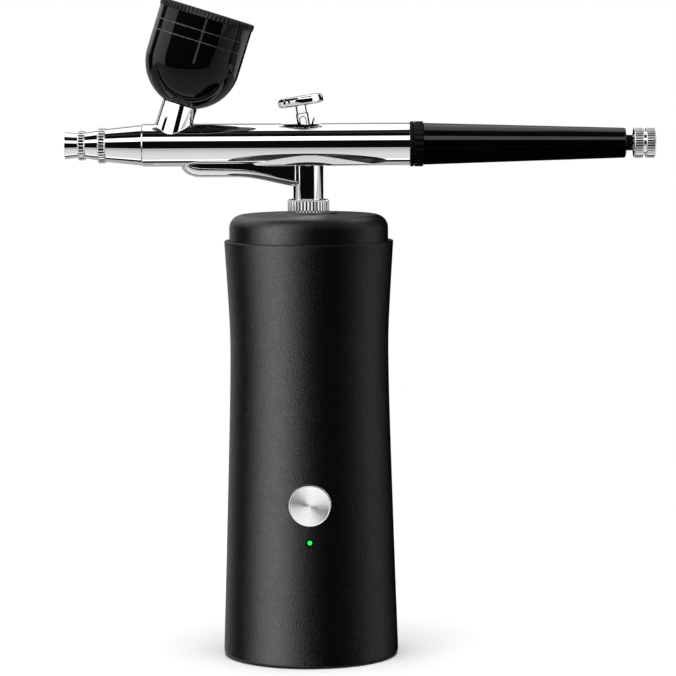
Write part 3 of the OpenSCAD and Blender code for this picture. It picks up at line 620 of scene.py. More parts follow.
def build_case():
    """The waisted shell, with holes for the button and the light in front and for the port behind."""
    seat_z, seat_r = CAP_LOW.z - 0.02, CAP_R + 0.05
    mouth_z, mouth_r = 3.5, FOOT_R - WALL - 0.12
    stations = np.linspace(3.0, SHELL_HIGH.z - 1.5, 60)
    outline = [(SHELL_LOW.z, case_r(1.4) - 0.02, 0.7)] + [(z, case_r(z)) for z in stations]
    outline += [(SHELL_HIGH.z, RIM_R, 0.35), (SHELL_HIGH.z, seat_r, 0.2)]
    outline += [(seat_z, seat_r), (seat_z, case_r(seat_z) - WALL)]
    outline += [(z, case_r(z) - WALL) for z in reversed(stations) if 5 < z < seat_z - 1]
    outline += [(mouth_z, mouth_r), (SHELL_LOW.z, mouth_r)]
    shell = lathe("case_skin", rounded(outline), segments=256)

    # The tools that cut the wall's holes reach from inside it to outside it
    inside, outside = 15, 30
    button_hole_r, light_hole_r, port_half, port_r = BUTTON_R + 0.22, 1.27, 4.77, 1.93
    combine(shell, turned("button_hole", rod_outline(button_hole_r, inside, outside), facing_front(BUTTON_Z)))
    light_hole = rod_outline(light_hole_r, inside, outside)
    combine(shell, turned("light_hole", light_hole, facing_front(LIGHT_Z), segments=48))
    back = Matrix.Translation((0, 0, PORT_Z)) @ Matrix.Rotation(math.radians(-90), 4, "X")
    combine(shell, rounded_bar("port_hole", port_half, port_r, inside, outside, back))
    finish_piece(shell, CASE_BLACK, "case", "case_black", "shell")


def build_cap():
    """Top cap: upright side, round shoulder, slightly crowned top and a low round boss in its middle."""
    shoulder_z, shoulder_r = 121.9, 3.8
    middle = CAP_R - shoulder_r
    dome, crown = CAP_HIGH.z - 0.4, 0.25
    boss_foot_r, boss_r, fitting_r = 8.15, 7.8, 2.95
    inner_r, ceiling_r = 20.4, 18.4
    inner_z, ceiling_z = CAP_LOW.z + 9, CAP_LOW.z + 11
    outline = [(CAP_LOW.z, CAP_R)] + arc(shoulder_z, middle, shoulder_r, np.arange(0, 89, 6))
    outline += [(dome - crown * (r / middle) ** 2, r) for r in np.linspace(middle - 0.5, 9.2, 8)]
    outline += [(dome, boss_foot_r), (CAP_HIGH.z, boss_r, 0.25), (CAP_HIGH.z, fitting_r)]
    outline += [(ceiling_z, fitting_r), (ceiling_z, ceiling_r), (inner_z, inner_r), (CAP_LOW.z, inner_r)]
    cap = lathe("cap_skin", rounded(outline), segments=256)
    finish_piece(cap, CAP_BLACK, "case", "case_black", "top_cap")


def build_button():
    """Spun button: fine turned grooves round its centre."""
    back, face = -BUTTON_HIGH.y, -BUTTON_LOW.y
    pin_r, flange_r, flange_back, flange_front = 1.7, 6.7, 20.6, 21.6
    outer_groove_r, groove_half, depth = 4.8, 0.15, 0.012
    grooves = []
    for k in range(8):
        radius = outer_groove_r - RING_PITCH / MM * k
        grooves += [(face, radius + groove_half), (face - depth, radius), (face, radius - groove_half)]
    outline = [(back, 0), (back, pin_r), (flange_back, pin_r), (flange_back, flange_r)]
    outline += [(flange_front, flange_r, 0.2), (flange_front + 0.02, BUTTON_R)]
    outline += [(face, BUTTON_R, 0.2)] + grooves + [(face, 0)]
    button = lathe("button_face", rounded(outline), facing_front(BUTTON_Z), segments=192, sharp=50)
    finish_piece(button, SPUN, "button", "button_metal", "power_button")


def build_light():
    """Status light: a domed lens inside a darker ring, a little below the wall's surface."""
    face = -LIGHT_LOW.y
    lens_r, ring_r, bore_r = 0.64, 1.24, 0.66
    lens_back, ring_back, ring_face, dome_height = 14.6, face - 3, face - 0.22, 0.35
    points = [(ring_back, bore_r), (ring_back, ring_r), (ring_face, ring_r, 0.1), (ring_face, bore_r)]
    ring = turned("light_ring", points, facing_front(LIGHT_Z), segments=64)
    finish_piece(ring, RING_GREEN, "case", "light_green")
    outline = [(lens_back, 0), (lens_back, lens_r)]
    outline += [(face - dome_height * (1 - math.cos(a)), lens_r * math.sin(a))
                for a in np.radians(np.arange(90, 0, -9))]
    lens = lathe("light_lens", outline + [(face, 0)], facing_front(LIGHT_Z), segments=64)
    finish_piece(lens, LENS_GREEN, "case", "light_green", "led_lens")


# ---- coupling and stem


def build_coupling():
    """The knurled coupling nut and the round stem above it, which holds the air valve."""
    low, high = NUT_LOW.z, NUT_HIGH.z
    radius, lip_r, bore_r = (NUT_HIGH.x - NUT_LOW.x) / 2, 3.38, 4.08
    lip_z = low + 0.9
    band = (low + 0.35, high - 0.35)
    points = [(low, lip_r), (low, radius - 0.3, 0.15), (low + 0.4, radius, 0.1), (high - 0.4, radius, 0.1)]
    points += [(high, radius - 0.35, 0.15), (high, bore_r), (lip_z, bore_r), (lip_z, lip_r)]
    nut = knurled("nut_skin", points, ALONG_Z, 36, 0.36, [band])
    finish_piece(nut, KNURL_CHROME, "nut", "airbrush_chrome", "coupling_nut")
    paint_groove_shade(nut, ALONG_Z, [band], radius - 0.22)

    low, high, shoulder_z, top_z = STEM_LOW.z, STEM_HIGH.z, NUT_HIGH.z + 0.1, 139.5
    thread_r, stem_r, spigot_r, spigot_bore_r = 4.0, 4.25, 3.9, 3.3
    seat_low, seat_high, seat_r, chamber_r = 134.2, 136.1, 1.06, 2.6
    points = [(low, 3.8), (low, thread_r), (shoulder_z, thread_r), (shoulder_z, stem_r, 0.15)]
    points += [(top_z, stem_r), (top_z, spigot_r), (high, spigot_r), (high, spigot_bore_r)]
    points += [(seat_high, spigot_bore_r), (seat_high, seat_r), (seat_low, seat_r), (seat_low, chamber_r)]
    stem = turned("stem_skin", points + [(low, chamber_r)], ALONG_Z, segments=160)
    finish_chrome(stem, "valve_case")


# ---- airbrush body


def oval(half_x, half_y, centre_x, count):
    """Oval plan outline, anticlockwise."""
    turns = [2 * math.pi * k / count for k in range(count)]
    return [(centre_x + half_x * math.cos(a), half_y * math.sin(a)) for a in turns]


def slot_outline(half, margin=0.0):
    """Stadium outline of the trigger's slot, with a half width and a margin left at its two ends."""
    outline = []
    for x, start in ((SLOT_REAR - margin - half, -90), (SLOT_FRONT + margin + half, 90)):
        for k in range(13):
            a = math.radians(start + 15 * k)
            outline.append((x + half * math.cos(a), half * math.sin(a)))
    return outline


def fin_section(x):
    """Bottom height, half width, flank half width and bead height of the guard fin at x."""
    tip, stem = -35.7, -3.0
    along = (x - tip) / (stem - tip)
    nose = min((x - tip) / 5.6, 1.0)
    half = 3.5 * math.sqrt(max(1 - (1 - nose) ** 2, 0.0004))
    rise = 3.0 * (1 - math.sqrt(max(1 - (1 - nose) ** 2, 0.0)))
    droop = 3.05 * smooth((x + 21) / 21) ** 1.15
    bottom = 136.4 + rise - droop
    bead = 2.6 - 0.9 * along
    pocket = smooth((x + 33.9) / 0.35) * smooth((-3.45 - x) / 0.3)
    return bottom, half, half - 0.42 * pocket, bead


def build_fin():
    """Guard fin under the tube: a beaded lower edge below recessed flanks, rounded at its tip."""
    tip, stem, top = -35.68, -3.0, 141.2
    stretches = (np.linspace(tip, -33.2, 26), np.linspace(-33.0, -4.1, 60), np.linspace(-4.0, stem, 14))
    loops = []
    for x in np.concatenate(stretches):
        bottom, half, flank, bead = fin_section(x)
        bead = min(bead, top - bottom - 0.5)
        side = [(flank, top), (flank, bottom + bead + 0.22), (half - 0.12, bottom + bead + 0.08)]
        for k in range(15):
            a = math.pi / 2 * k / 14
            width = half * math.cos(a) ** 0.8 if k < 14 else 0.0
            side.append((width, bottom + bead * (1 - math.sin(a) ** 0.9)))
        loop = [(x, -y, z) for y, z in side] + [(x, y, z) for y, z in reversed(side[:-1])]
        loops.append(loop)
    return loft("fin_form", loops, sharp=40)


def saddle_form():
    """Flat boss under the tube, round the stem, with sides that slope in towards its flat."""
    half_x, half_y, centre_x = 22.9, 5.35, 0.2
    side = [(142.95, 0), (142.85, 0.03), (140.0, 0.87), (139.9, 0.92)]
    levels = [(143.6, 0)] + side + [(139.7, 1.15), (139.6, 1.5)]
    loops = []
    for z, shrink in reversed(levels):
        plan = oval(half_x - 2 * shrink, half_y - shrink, centre_x, 160)
        loops.append([(x, y, z) for x, y in plan])
    return loft("saddle_form", loops)


def build_neck():
    """The cup's neck, with a small fillet where it grows out of the tube."""
    neck_r, top, reach, count, steps = 5.0, 5.58, 0.9, 160, 8
    turn = ALONG_CUP.to_3x3()
    up = turn @ Vector((0, 0, 1))
    loops = [[] for _ in range(steps + 2)]
    angles = [2 * math.pi * j / count for j in range(count)]
    for angle in angles:
        out = turn @ Vector((math.cos(angle), math.sin(angle), 0))
        spread = reach * (1 - 0.93 * abs(math.sin(angle)))
        foot = onto_tube(CUP_FOOT + out * (neck_r + spread), up)
        corner = onto_tube(CUP_FOOT + out * neck_r, up)
        loops[0].append(foot - up * 0.5)
        end = corner + up * spread
        for k in range(steps + 1):
            t = k / steps
            loops[k + 1].append(foot * (1 - t) ** 2 + corner * (2 * t * (1 - t)) + end * t * t)
    rim = [(top - 0.2, neck_r), (top - 0.06, neck_r - 0.06), (top, neck_r - 0.2), (top, 3.95)]
    for height, radius in rim:
        circle = [(radius * math.cos(angle), radius * math.sin(angle), height) for angle in angles]
        loops.append([ALONG_CUP @ Vector(point) for point in circle])
    neck = loft("neck_skin", loops, sharp=50)
    finish_chrome(neck)


def onto_tube(point, up):
    """The point moved along a direction onto the tube's surface."""
    drop = min(abs(point.y) / TUBE_R, 0.98)
    height = AXIS_Z + TUBE_R * math.sqrt(1 - drop * drop)
    return point + up * ((height - point.z) / up.z)


def in_bore(face):
    """True for a face inside the tube's bores or on the walls of the trigger's slot."""
    middle = face.center / MM
    out = Vector((0, middle.y, middle.z - AXIS_Z))
    if out.length < TUBE_R - 1:
        return True
    in_slot = SLOT_FRONT - 0.3 < middle.x < LEVER_SLOT_REAR + 0.2 and out.z > 2.5
    return in_slot and face.normal.dot(out.normalized()) < 0.5


def lever_slot_tool():
    """Block that cuts the narrow slot behind the trigger, where the auxiliary lever swings."""
    plan = box_outline(SLOT_REAR - 0.6, LEVER_SLOT_REAR, LEVER_SLOT_HALF)
    return prism("lever_slot_tool", plan, AXIS_Z, ABOVE_TUBE)


def build_airbrush_body():
    """The tube with its saddle and fin, cut out for the trigger, the stem and the cup's spigot."""
    head_bore_r, rear_bore_r, needle_bore_r, spigot_bore_r = 3.6, 4.2, 1.9, 3.93
    points = [(TUBE_FRONT, head_bore_r), (TUBE_FRONT, TUBE_R - 0.3), (TUBE_FRONT + 0.3, TUBE_R, 0.05)]
    points += [(TUBE_REAR, TUBE_R, 0.15), (TUBE_REAR, rear_bore_r), (0.5, rear_bore_r)]
    points += [(0.5, needle_bore_r), (-43.5, needle_bore_r), (-43.5, head_bore_r)]
    tube = turned("airbrush_skin", points, segments=256)
    combine(tube, saddle_form(), "UNION")
    combine(tube, build_fin(), "UNION")
    combine(tube, prism("slot_tool", slot_outline(3.1), 142.0, ABOVE_TUBE))
    combine(tube, lever_slot_tool())
    points = [(136, 0), (136, 4.28), (139.48, 4.28), (139.48, spigot_bore_r)]
    points += [(140.85, spigot_bore_r), (140.85, 3.3), (145, 3.3), (145, 0)]
    combine(tube, turned("bore_tool", points, ALONG_Z, segments=96))
    combine(tube, turned("cup_bore", rod_outline(spigot_bore_r, 0.8, 12), ALONG_CUP, segments=96))
    finish_chrome(tube, "airbrush_body")
    # Faces in the bores and on the slot's walls get near-black metal, painted shade inside the tube
    tube.data.materials.append(BORE_SHADE)
    for face in tube.data.polygons:
        if in_bore(face):
            face.material_index = 1


def build_head():
    """Plain cone between the tube and the nozzle cap."""
    front, rear = HEAD_LOW.x, HEAD_HIGH.x
    shoulder, tube_side = NOZZLE_RING_REAR, TUBE_FRONT - 0.03
    thread_r, nozzle_bore_r, needle_bore_r, tube_thread_r = 3.4, 2.4, 1.6, 3.57
    points = [(front, nozzle_bore_r), (front, thread_r), (shoulder, thread_r), (shoulder, 4.65, 0.1)]
    points += [(tube_side, 5.725, 0.12), (tube_side, tube_thread_r), (rear, tube_thread_r)]
    points += [(rear, needle_bore_r), (-55, needle_bore_r), (-55, nozzle_bore_r)]
    head = turned("head_skin", points, segments=192)
    finish_chrome(head, "head_cone")


def build_nozzle_cap():
    """Short cone in front of the head, with a knurled ring at its rear end."""
    front, low, high = NOZZLE_CAP_LOW.x, NOZZLE_RING_FRONT, NOZZLE_RING_REAR
    cone_front, radius, side_r, bore_r = -62.9, 5.05, 4.85, 3.45
    band = (low + 0.3, high - 0.3)
    points = [(front, 0.9), (front, 2.4), (cone_front, 2.4), (cone_front, 3.6, 0.08), (low, 4.225)]
    points += [(low, side_r, 0.1), (low + 0.35, radius, 0.1), (high - 0.4, radius, 0.1)]
    points += [(high - 0.03, side_r, 0.1), (high - 0.03, bore_r), (-58.7, bore_r), (-58.7, 3.0), (-63.8, 0.9)]
    nozzle = knurled("nozzle_cap_skin", points, ALONG_X, 34, 0.4, [band])
    finish_chrome(nozzle, "nozzle_cap")
    paint_groove_shade(nozzle, ALONG_X, [band], radius - 0.2)


def build_needle_cap():
    """Flared crown that guards the needle's tip, with a knurled ring at its rear end."""
    front, low, high = NEEDLE_CAP_LOW.x, -64.9, -62.93
    radius, side_r, bore_r, hole_r = 4.2, 4.0, 2.46, 1.4
    band = (low + 0.3, high - 0.3)
    points = [(front, 3.25, 0.1), (front, 3.85, 0.12), (low, 3.4), (low, side_r, 0.1)]
    points += [(low + 0.35, radius, 0.1), (high - 0.35, radius, 0.1), (high, side_r, 0.1)]
    points += [(high, bore_r), (-64.66, bore_r), (-64.66, hole_r), (-65.2, hole_r)]
    cap = knurled("needle_cap_skin", points, ALONG_X, 28, 0.36, [band])
    finish_piece(cap, CHROME, "front_cap", "airbrush_chrome", "needle_cap")
    paint_groove_shade(cap, ALONG_X, [band], radius - 0.18)


# ---- cup


def build_cup():
    """Round-bottomed paint cup with two scribed lines and a stepped rim."""
    centre, step, rim = 18.1, 30.85, 31.8
    inner, rim_r, spigot_r, drain_r = CUP_R - 1, CUP_R - 0.45, 3.9, 2.6
    scribes, depth, floor_half, half = (24.1, 27.2), 0.05, 0.1, 0.14
    outline = [(1.0, drain_r), (1.0, spigot_r, 0.2), (5.6, spigot_r)]
    outline += arc(centre, 0, CUP_R, np.arange(-68.9, 0.5, 3.445))
    for at in scribes:
        outline += [(at - half, CUP_R), (at - floor_half, CUP_R - depth)]
        outline += [(at + floor_half, CUP_R - depth), (at + half, CUP_R)]
    outline += [(step, CUP_R, 0.12), (step, rim_r), (rim, rim_r, 0.1), (rim, inner, 0.1)]
    outline += arc(centre, 0, inner, np.arange(0, -77.9, -6))
    cup = lathe("cup_skin", rounded(outline), ALONG_CUP, segments=256)
    finish_piece(cup, CUP_BLACK_PAINTED_SHADE_BELOW, "airbrush", "cup_black", "paint_cup")
    cup.data.materials.append(SCRIBE_GREY)
    back = ALONG_CUP.inverted()
    for face in cup.data.polygons:
        spot = back @ (face.center / MM)
        in_scribe = min(abs(spot.z - at) for at in scribes) < 0.15
        if in_scribe and math.hypot(spot.x, spot.y) > inner + 0.5:
            face.material_index = 1


def build_lid():
    """Knurled push-on lid with a sunken top, an air hole and a skirt that fits inside the cup."""
    low, high, radius = 30.88, 32.8, 13.7
    top, ceiling, mouth_z, skirt_z = high - 0.3, 31.9, 31.85, 29.0
    mouth_r, skirt_r, skirt_bore_r, air_hole_r = 13.02, 12.3, 11.3, 0.7
    band = (low + 0.1, high - 0.25)
    points = [(low, mouth_r), (low, radius - 0.1, 0.1), (high - 0.35, radius, 0.1)]
    points += [(high, radius - 0.45, 0.2), (high, 11.6, 0.2), (top, 11.2, 0.2), (top, air_hole_r)]
    points += [(ceiling, air_hole_r), (ceiling, skirt_bore_r), (skirt_z, skirt_bore_r, 0.2)]
    points += [(skirt_z, skirt_r, 0.3)]
    points += [(mouth_z, skirt_r), (mouth_z, mouth_r)]
    lid = knurled("lid_skin", points, ALONG_CUP, 70, 0.35, [band], per_rib=10)
    finish_piece(lid, CUP_BLACK_PAINTED_SHADE_BELOW, "lid", "cup_black", "cup_lid")
    paint_groove_shade(lid, ALONG_CUP, [band], radius - 0.08)


# ---- trigger


def pad_outline(inset):
    """Plan of the finger pad: a round pad with a narrower lip in front that carries two ridges."""
    count = 96
    centre, radius, lip_length, ridge_pitch = 1.7, 5.0, 2.75, 1.25
    out = []
    for k in range(count):
        a = 2 * math.pi * k / count
        front = max(0.0, -math.cos(a))
        x = centre + (radius + lip_length * front**5 - inset) * math.cos(a)
        narrow = 0.9 * front**3 * abs(math.sin(a))
        ridge = 0.14 * math.sin(2 * math.pi * (x + 6.1) / ridge_pitch) * smooth((-2.9 - x) / 0.5)
        y = (radius - inset) * abs(math.sin(a)) - narrow + ridge * min(abs(math.sin(a)) * 3, 1)
        out.append((x, math.copysign(y, math.sin(a))))
    return out


def build_pad():
    """Finger pad, given as heights along the trigger and how far the outline is inset there."""
    underside = [(15.62, 3.4), (15.6, 2.2), (15.62, 1.4), (15.7, 0.75), (15.85, 0.3), (16.1, 0.06)]
    rim = [(16.4, 0.0), (17.3, 0.0), (17.75, 0.1), (18.05, 0.35), (18.25, 0.75), (18.32, 1.2)]
    dished_top = [(18.22, 1.7), (17.95, 2.3), (17.75, 3.0), (17.66, 3.7), (17.64, 4.4)]
    loops = []
    for z, inset in underside + rim + dished_top:
        loops.append([(x, y, z) for x, y in pad_outline(inset)])
    pad = loft("trigger_skin", loops, ALONG_TRIGGER, sharp=50)
    finish_piece(pad, CHROME, "trigger", "airbrush_chrome")


def build_stem():
    """Round post in two steps on a round foot, with an arched line cut in its front and back."""
    post_r, upper_r, step_z, top_z, foot_r, foot_half = 1.75, 1.5, 13.3, 15.7, 1.72, 1.8
    points = [(0, 0), (0, post_r), (step_z, post_r, 0.15), (step_z + 0.25, upper_r)]
    points += [(top_z, upper_r), (top_z, 0)]
    stem = turned("trigger_stem", points, STEM_FRAME, segments=96)
    across = ALONG_TRIGGER @ Matrix.Rotation(math.radians(90), 4, "X")
    foot = turned("foot_form", rod_outline(foot_r, -foot_half, foot_half), across, segments=64)
    combine(stem, foot, "UNION")
    combine(stem, prism("needle_slot", box_outline(-5, 5, 1), 2.6, 8.4, matrix=ALONG_TRIGGER))
    recess_y, plate_y = 1.3, 1.47
    for side in (1, -1):
        combine(stem, arch_block("arch_tool", 0.98, *sorted((recess_y * side, 3 * side))))
        combine(stem, arch_block("arch_plate", 0.74, *sorted((1.1 * side, plate_y * side))), "UNION")
    finish_piece(stem, STEM_CHROME_PAINTED_RIM, "trigger", "airbrush_chrome", "trigger")
    # The faces of the arched line's recess get near-black metal, painted shade in the cut
    stem.data.materials.append(GROOVE_SHADE)
    back = ALONG_TRIGGER.inverted()
    for face in stem.data.polygons:
        spot = back @ (face.center / MM)
        if spot.z > 9 and abs(abs(spot.y) - recess_y) < 0.02:
            face.material_index = 1


def arch_block(name, half, low_y, high_y):
    """Round-topped block across the trigger's stem, between two distances from its middle plane."""
    frame_matrix = STEM_FRAME @ Matrix.Translation((0, 0, 11.7)) @ Matrix.Rotation(math.radians(90), 4, "X")
    outline = [(half * math.cos(a), half * math.sin(a)) for a in np.radians(np.arange(0, 181, 10))]
    outline += [(-half, -1.5), (half, -1.5)]
    return prism(name, outline, low_y, high_y, matrix=frame_matrix)


def build_lever():
    """Thin curved tail of the auxiliary lever behind the trigger."""
    inside_tube = [(1.5, 148.6, 0.25), (1.3, 150.2, 0.27)]
    above_tube = [(1.28, 151.4, 0.27), (1.5, 152.4, 0.22), (1.85, 153.1, 0.14)]
    loops = []
    for x, z, half in inside_tube + above_tube:
        corners = [(x + half, -1.0, 0.1), (x + half, 1.0, 0.1), (x - half, 1.0, 0.1), (x - half, -1.0, 0.1)]
        loops.append([(p.x, p.y, z) for p in rounded(corners, steps=3)])
    lever = loft("lever_skin", loops)
    finish_piece(lever, STEM_CHROME_PAINTED_RIM, "lever", "shaft_steel", "aux_lever")


def build_springs():
    """The two springs: each is a steel copy of its CAD node, which it hides."""
    springs = (
        ("needle_spring", "needle_travel", (1, 0, 0), (0.03875, 0, AXIS_Z * MM), 0.944),
        ("valve_spring", "trigger_press", (0, 0, 1), (0, 0, 0.12942), 0.42),
    )
    for node, joint, axis, anchor, keep in springs:
        source = frame["nodes"][node]
        spring = bpy.data.objects.new(node + "_coil", source.data.copy())
        bpy.context.scene.collection.objects.link(spring)
        spring.matrix_world = source.matrix_world.copy()
        finish_piece(spring, STEEL, "airbrush", "shaft_steel", node)
        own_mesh(spring)


def build_slot_shade_ring():
    """Black ring that stands in the trigger's slot, a dark body put there as painted shade in the slot."""
    ring = prism("slot_shade_ring", slot_outline(3.05, 0.05), 148.6, 151.15, edge=0.12)
    combine(ring, prism("shade_ring_hole", slot_outline(2.45, 0.1), 147, 153))
    combine(ring, lever_slot_tool())
    finish_piece(ring, SLOT_SHADE_BLACK, "airbrush", "pad_rubber")


# ---- handle and limiter


def build_lock_ring():
    """Black ring in front of the handle: fine ribs, a groove, then coarse ribs."""
    low, high, radius, bore_r = RING_LOW.x, RING_HIGH.x, 6.375, 3.88
    groove_r = radius - 0.28
    fine = straight_ribs(64, 0.16, [(low + 0.1, low + 1.05)])
    coarse = straight_ribs(24, 0.22, [(low + 1.3, high - 0.2)])

    def both(along, angle):
        return fine(along, angle) + coarse(along, angle)

    points = [(low, bore_r), (low, radius - 0.2, 0.1), (low + 0.2, radius, 0.05), (low + 1.0, radius, 0.05)]
    points += [(low + 1.1, groove_r), (low + 1.25, groove_r), (low + 1.35, radius, 0.05)]
    points += [(high - 0.25, radius, 0.08), (high, radius - 0.25, 0.08), (high, bore_r)]
    ring = lathe("ring_skin", rounded(points), ALONG_X, segments=64 * 6, ribs=both, sharp=30)
    finish_piece(ring, RING_BLACK, "airbrush", "handle_black", "lock_ring")


def build_handle():
    """Tapered hollow handle and the limiter's rod that comes out of its end."""
    front, rear, front_r, rear_r = HANDLE_LOW.x, HANDLE_HIGH.x, 5.9, 4.23
    thread_r, hollow_r, rod_hole_r, rod_r = 3.9, 4.3, 2.28, 2.2
    points = [(front, thread_r), (front, front_r, 0.25), (rear, rear_r, 0.5), (rear, rod_hole_r, 0.1)]
    points += [(56, rod_hole_r), (56, hollow_r), (42, hollow_r), (42, thread_r)]
    handle = turned("handle_skin", points, segments=256)
    finish_piece(handle, HANDLE_BLACK_PAINTED_SHADE_BELOW, "airbrush", "handle_black", "handle")
    rod = turned("limiter_rod_skin", [(84.6, 0), (84.6, rod_r, 0.3), (95, rod_r), (95, 0)], segments=96)
    finish_piece(rod, STEEL, "limiter", "shaft_steel", "limiter_rod")


def build_knob():
    """Limiter knob: two knurled bands with a groove between them."""
    low, high, radius = KNOB_LOW.x, KNOB_HIGH.x, (KNOB_HIGH.z - KNOB_LOW.z) / 2
    groove_low, groove_high, groove_r = 94.6, 95.25, 3.4
    socket, socket_r = 95.05, 2.23
    side_r = radius - 0.25
    bands = [(low + 0.25, groove_low - 0.25), (groove_high + 0.25, high - 0.25)]
    points = [(low, socket_r), (low, side_r, 0.1), (low + 0.3, radius, 0.1), (groove_low - 0.3, radius, 0.1)]
    points += [(groove_low, side_r, 0.1), (groove_low, groove_r), (groove_high, groove_r)]
    points += [(groove_high, side_r, 0.1), (groove_high + 0.3, radius, 0.1), (high - 0.3, radius, 0.1)]
    points += [(high, radius - 0.35, 0.1), (high, 0), (socket, 0), (socket, socket_r)]
    knob = knurled("knob_skin", points, ALONG_X, 38, 0.3, bands)
    finish_piece(knob, KNURL_CHROME, "limiter_knob", "airbrush_chrome", "limiter_knob")
    paint_groove_shade(knob, ALONG_X, bands, radius - 0.16)


# ---- studio


def build_floor():
    """Pale floor, lit evenly: it fades to plain white away from the object."""
    size, steps = 12.0, 24
    spots = [size * (2 * i / steps - 1) for i in range(steps + 1)]
    points = [(x, y, 0) for x in spots for y in spots]
    faces = []
    for i in range(steps):
        for j in range(steps):
            a = i * (steps + 1) + j
            faces.append((a, a + steps + 1, a + steps + 2, a + 1))
    mesh = bpy.data.meshes.new("floor")
    mesh.from_pydata(points, [], faces)
    floor = bpy.data.objects.new("floor", mesh)
    bpy.context.scene.collection.objects.link(floor)
    material, g, output, place = new_material("pale_floor")
    split = g.at(place, "ShaderNodeSeparateXYZ")
    length = g.at(place, "ShaderNodeVectorMath", operation="LENGTH")
    path = g.node("ShaderNodeLightPath")

    # What the camera sees: matte near the object, plain white farther off
    matte = g.node("ShaderNodeBsdfDiffuse", Color=(0.9, 0.9, 0.9, 1))
    white = g.node("ShaderNodeEmission", Color=(1, 1, 1, 1), Strength=1.0)
    seen = g.mixed(g.remap(length.outputs["Value"], 0.06, 0.4), matte.outputs[0], white.outputs[0])

    # What chrome reflects: a lit sweep in front, a white and a black strip below, grey behind
    y = split.outputs[1]
    sweep = g.math("MULTIPLY", g.inside(y, -0.494, -0.018, 0.004), g.remap(y, -0.4, -0.03, 0.46, 0.75))
    white_strip = g.math("MULTIPLY", g.inside(y, -0.018, 0.006, 0.003), 1.3)
    behind = g.math("MULTIPLY", g.inside(y, 0.049, 0.6, 0.003), 0.42)
    lit = g.math("ADD", g.math("ADD", sweep, white_strip), behind)
    shape = g.inside(y, -0.494, 0.6, 0.004)
    glow = g.node("ShaderNodeEmission", Color=(1, 1, 1, 1))
    g.link(lit, glow.inputs["Strength"])
    clear = g.node("ShaderNodeBsdfTransparent")
    to_mirror = g.math("MULTIPLY", shape, path.outputs["Is Singular Ray"])
    mirrored = g.mixed(to_mirror, clear.outputs[0], glow.outputs[0])
    g.link(g.mixed(path.outputs["Is Camera Ray"], mirrored, seen), output.inputs["Surface"])
    mesh.materials.append(material)


def build_world():
    """Studio light by direction. Mirror-like surfaces see crisp soft boxes and black flags; satin and
    matte ones see broad, quiet soft boxes; the camera sees plain white."""
    world = bpy.data.worlds.new("studio")
    bpy.context.scene.world = world
    world.use_nodes = True
    g = Graph(world.node_tree)
    output = g.node("ShaderNodeOutputWorld")
    x, y, z = g.at(g.node("ShaderNodeTexCoord").outputs["Generated"], "ShaderNodeSeparateXYZ").outputs
    azimuth = g.math("ARCTAN2", x, g.math("MULTIPLY", y, -1.0))
    around = g.math("ABSOLUTE", azimuth)
    height = g.math("ARCSINE", z)
    deg = math.radians

    def panel(angle, low, high, bottom, top, strength, soft=1.5):
        """Soft box between two angles round the object and two heights, in degrees."""
        across = g.inside(angle, deg(low), deg(high), deg(soft))
        up = g.inside(height, deg(bottom), deg(top), deg(soft))
        return g.math("MULTIPLY", g.math("MULTIPLY", across, up), strength)

    def total(panels, base):
        """Sum of soft boxes over an even base light."""
        light = base
        for part in panels:
            light = g.math("ADD", part, light)
        return light

    crisp = total([
        panel(around, -10, 66, 24, 46, 2.2),            # strip in front, above the camera
        panel(around, -10, 60, 64, 74, 0.03, 4),        # faint overhead glow
        panel(around, -10, 104, 83, 100, 1.6),          # ceiling, its front part
        panel(around, 104, 200, 40, 100, 1.6, 2),       # ceiling behind
        panel(around, 130, 200, 7, 30, 0.65),           # pale wall behind
        panel(azimuth, -112, -69, -60, 62, 1.8),        # left soft box
        panel(azimuth, 47, 101, -60, 62, 1.3),          # right soft box
    ], 0.004)
    broad = total([
        panel(azimuth, -66, -38, -60, 60, 1.0, 4),      # main soft box, front left
        panel(azimuth, 88, 112, -60, 60, 0.22, 6),      # fill, right
        panel(azimuth, -180, -140, -60, 60, 0.7, 5),    # rim light, behind left
    ], 0.004)

    def background(strength):
        made = g.node("ShaderNodeBackground")
        g.link(strength, made.inputs["Strength"])
        return made.outputs[0]

    path = g.node("ShaderNodeLightPath")
    mirrored = g.mixed(path.outputs["Is Singular Ray"], background(broad), background(crisp))
    plain = g.node("ShaderNodeBackground", Color=(1, 1, 1, 1), Strength=1.0)
    g.link(g.mixed(path.outputs["Is Camera Ray"], mirrored, plain.outputs[0]), output.inputs["Surface"])


def soft_light(name, place, target, width, height, radiance, only=()):
    """Area light. With pieces named in only, it lights those alone and shows in their reflections."""
    data = bpy.data.lights.new(name, "AREA")
    data.shape = "RECTANGLE"
    data.size = width
    data.size_y = height
    data.energy = radiance * math.pi * width * height
    light = bpy.data.objects.new(name, data)
    bpy.context.scene.collection.objects.link(light)
    light.location = place
    light.rotation_euler = (Vector(target) - Vector(place)).to_track_quat("-Z", "Y").to_euler()
    light.visible_camera = False
    light.visible_glossy = bool(only)
    if only:
        lit = bpy.data.collections.new(name + "_lit")
        for piece in only:
            lit.objects.link(bpy.data.objects[piece])
        light.light_linking.receiver_collection = lit
    return light


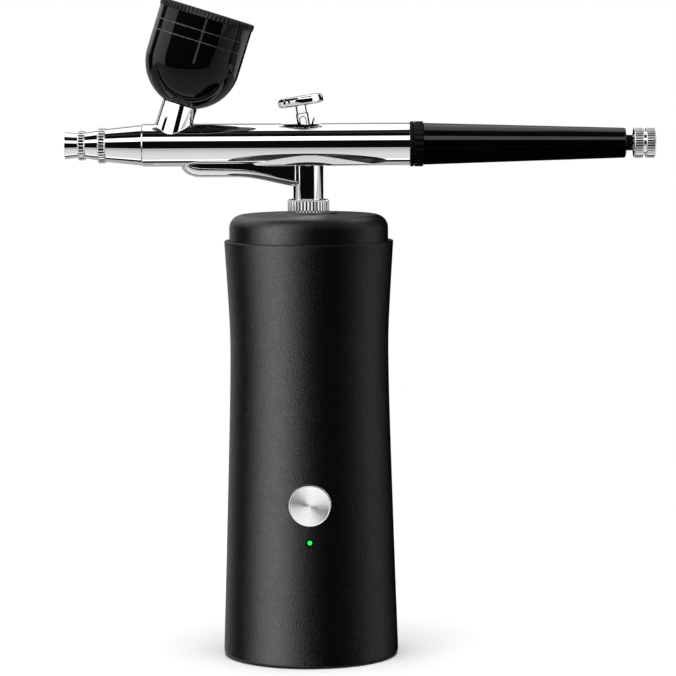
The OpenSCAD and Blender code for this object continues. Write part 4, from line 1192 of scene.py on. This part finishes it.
def build_lights():
    """The overhead light, and cards that show only in the reflections of single pieces."""
    soft_light("overhead", (0.0, -0.1, 1.1), (0, 0, 0), 0.9, 0.9, 7.5)
    # Two cards that draw the white stripes on the cup's neck
    neck = (-0.037, 0, 0.155)
    soft_light("neck_card_left", (-0.203, -0.482, 0.19), neck, 0.54, 0.6, 1.2, ("neck_skin",))
    soft_light("neck_card_right", (0.317, -0.367, 0.13), neck, 0.11, 0.5, 1.2, ("neck_skin",))
    # A wide card that keeps the trigger's stem white between its painted dark edges
    stem = (0.003, 0, 0.155)
    soft_light("stem_card", (-0.104, -0.489, 0.155), stem, 1.54, 0.5, 1.0, ("trigger_stem",))
    # A card that lights the fronts of the nut's ribs
    nut = (0, 0, 0.128)
    soft_light("nut_card", (-0.08, -0.5, 0.13), nut, 0.8, 0.4, 1.0, ("nut_skin",))
    # The button's own soft boxes, which leave a dark wedge at ten and at four o'clock
    button = (0, -0.025, BUTTON_Z * MM)
    for angle in (15, 125, 195, 305):
        away = math.radians(angle)
        place = (0.47 * math.cos(away), -0.75, BUTTON_Z * MM + 0.47 * math.sin(away))
        soft_light(f"button_light_{angle}", place, button, 0.6, 0.6, 1.75, ("button_face",))
    # The cup's streak in front and its rims of light from behind
    cup = (-0.03, 0, 0.175)
    black = ("cup_skin", "lid_skin")
    streak = soft_light("cup_streak", (0.02, -0.61, 0.168), cup, 0.05, 0.12, 2.0, black)
    streak.rotation_euler.rotate_axis("Z", -CUP_LEAN)
    soft_light("lid_card", (-0.06, -0.55, 0.2), cup, 1.2, 0.3, 3.0, ("lid_skin",))
    soft_light("cup_rim_right", (0.43, 0.386, 0.175), cup, 0.4, 0.5, 0.9, black)
    soft_light("cup_rim_left", (-0.3, 0.52, 0.175), cup, 0.44, 0.5, 0.55, black)


def build_camera():
    """Long-lens camera in front of the object, looking slightly down."""
    data = bpy.data.cameras.new("camera")
    data.lens = 166.05
    data.sensor_width = 36
    camera = bpy.data.objects.new("camera", data)
    bpy.context.scene.collection.objects.link(camera)
    camera.location = (0.00814, -0.88172, 0.1762)
    pitch = Matrix.Rotation(math.radians(90 - 5.5504), 3, "X")
    roll = Matrix.Rotation(math.radians(-0.31), 3, "Z")
    camera.rotation_euler = (pitch @ roll).to_euler()
    data.clip_start = 0.01
    data.clip_end = 100
    bpy.context.scene.camera = camera


paint_cad_nodes()
build_case()
build_cap()
build_button()
build_light()
build_coupling()
build_airbrush_body()
build_neck()
build_head()
build_nozzle_cap()
build_needle_cap()
build_cup()
build_lid()
build_pad()
build_stem()
build_lever()
build_slot_shade_ring()
build_springs()
build_lock_ring()
build_handle()
build_knob()
build_floor()
build_world()
build_lights()
build_camera()
bpy.context.scene.view_settings.view_transform = "Standard"
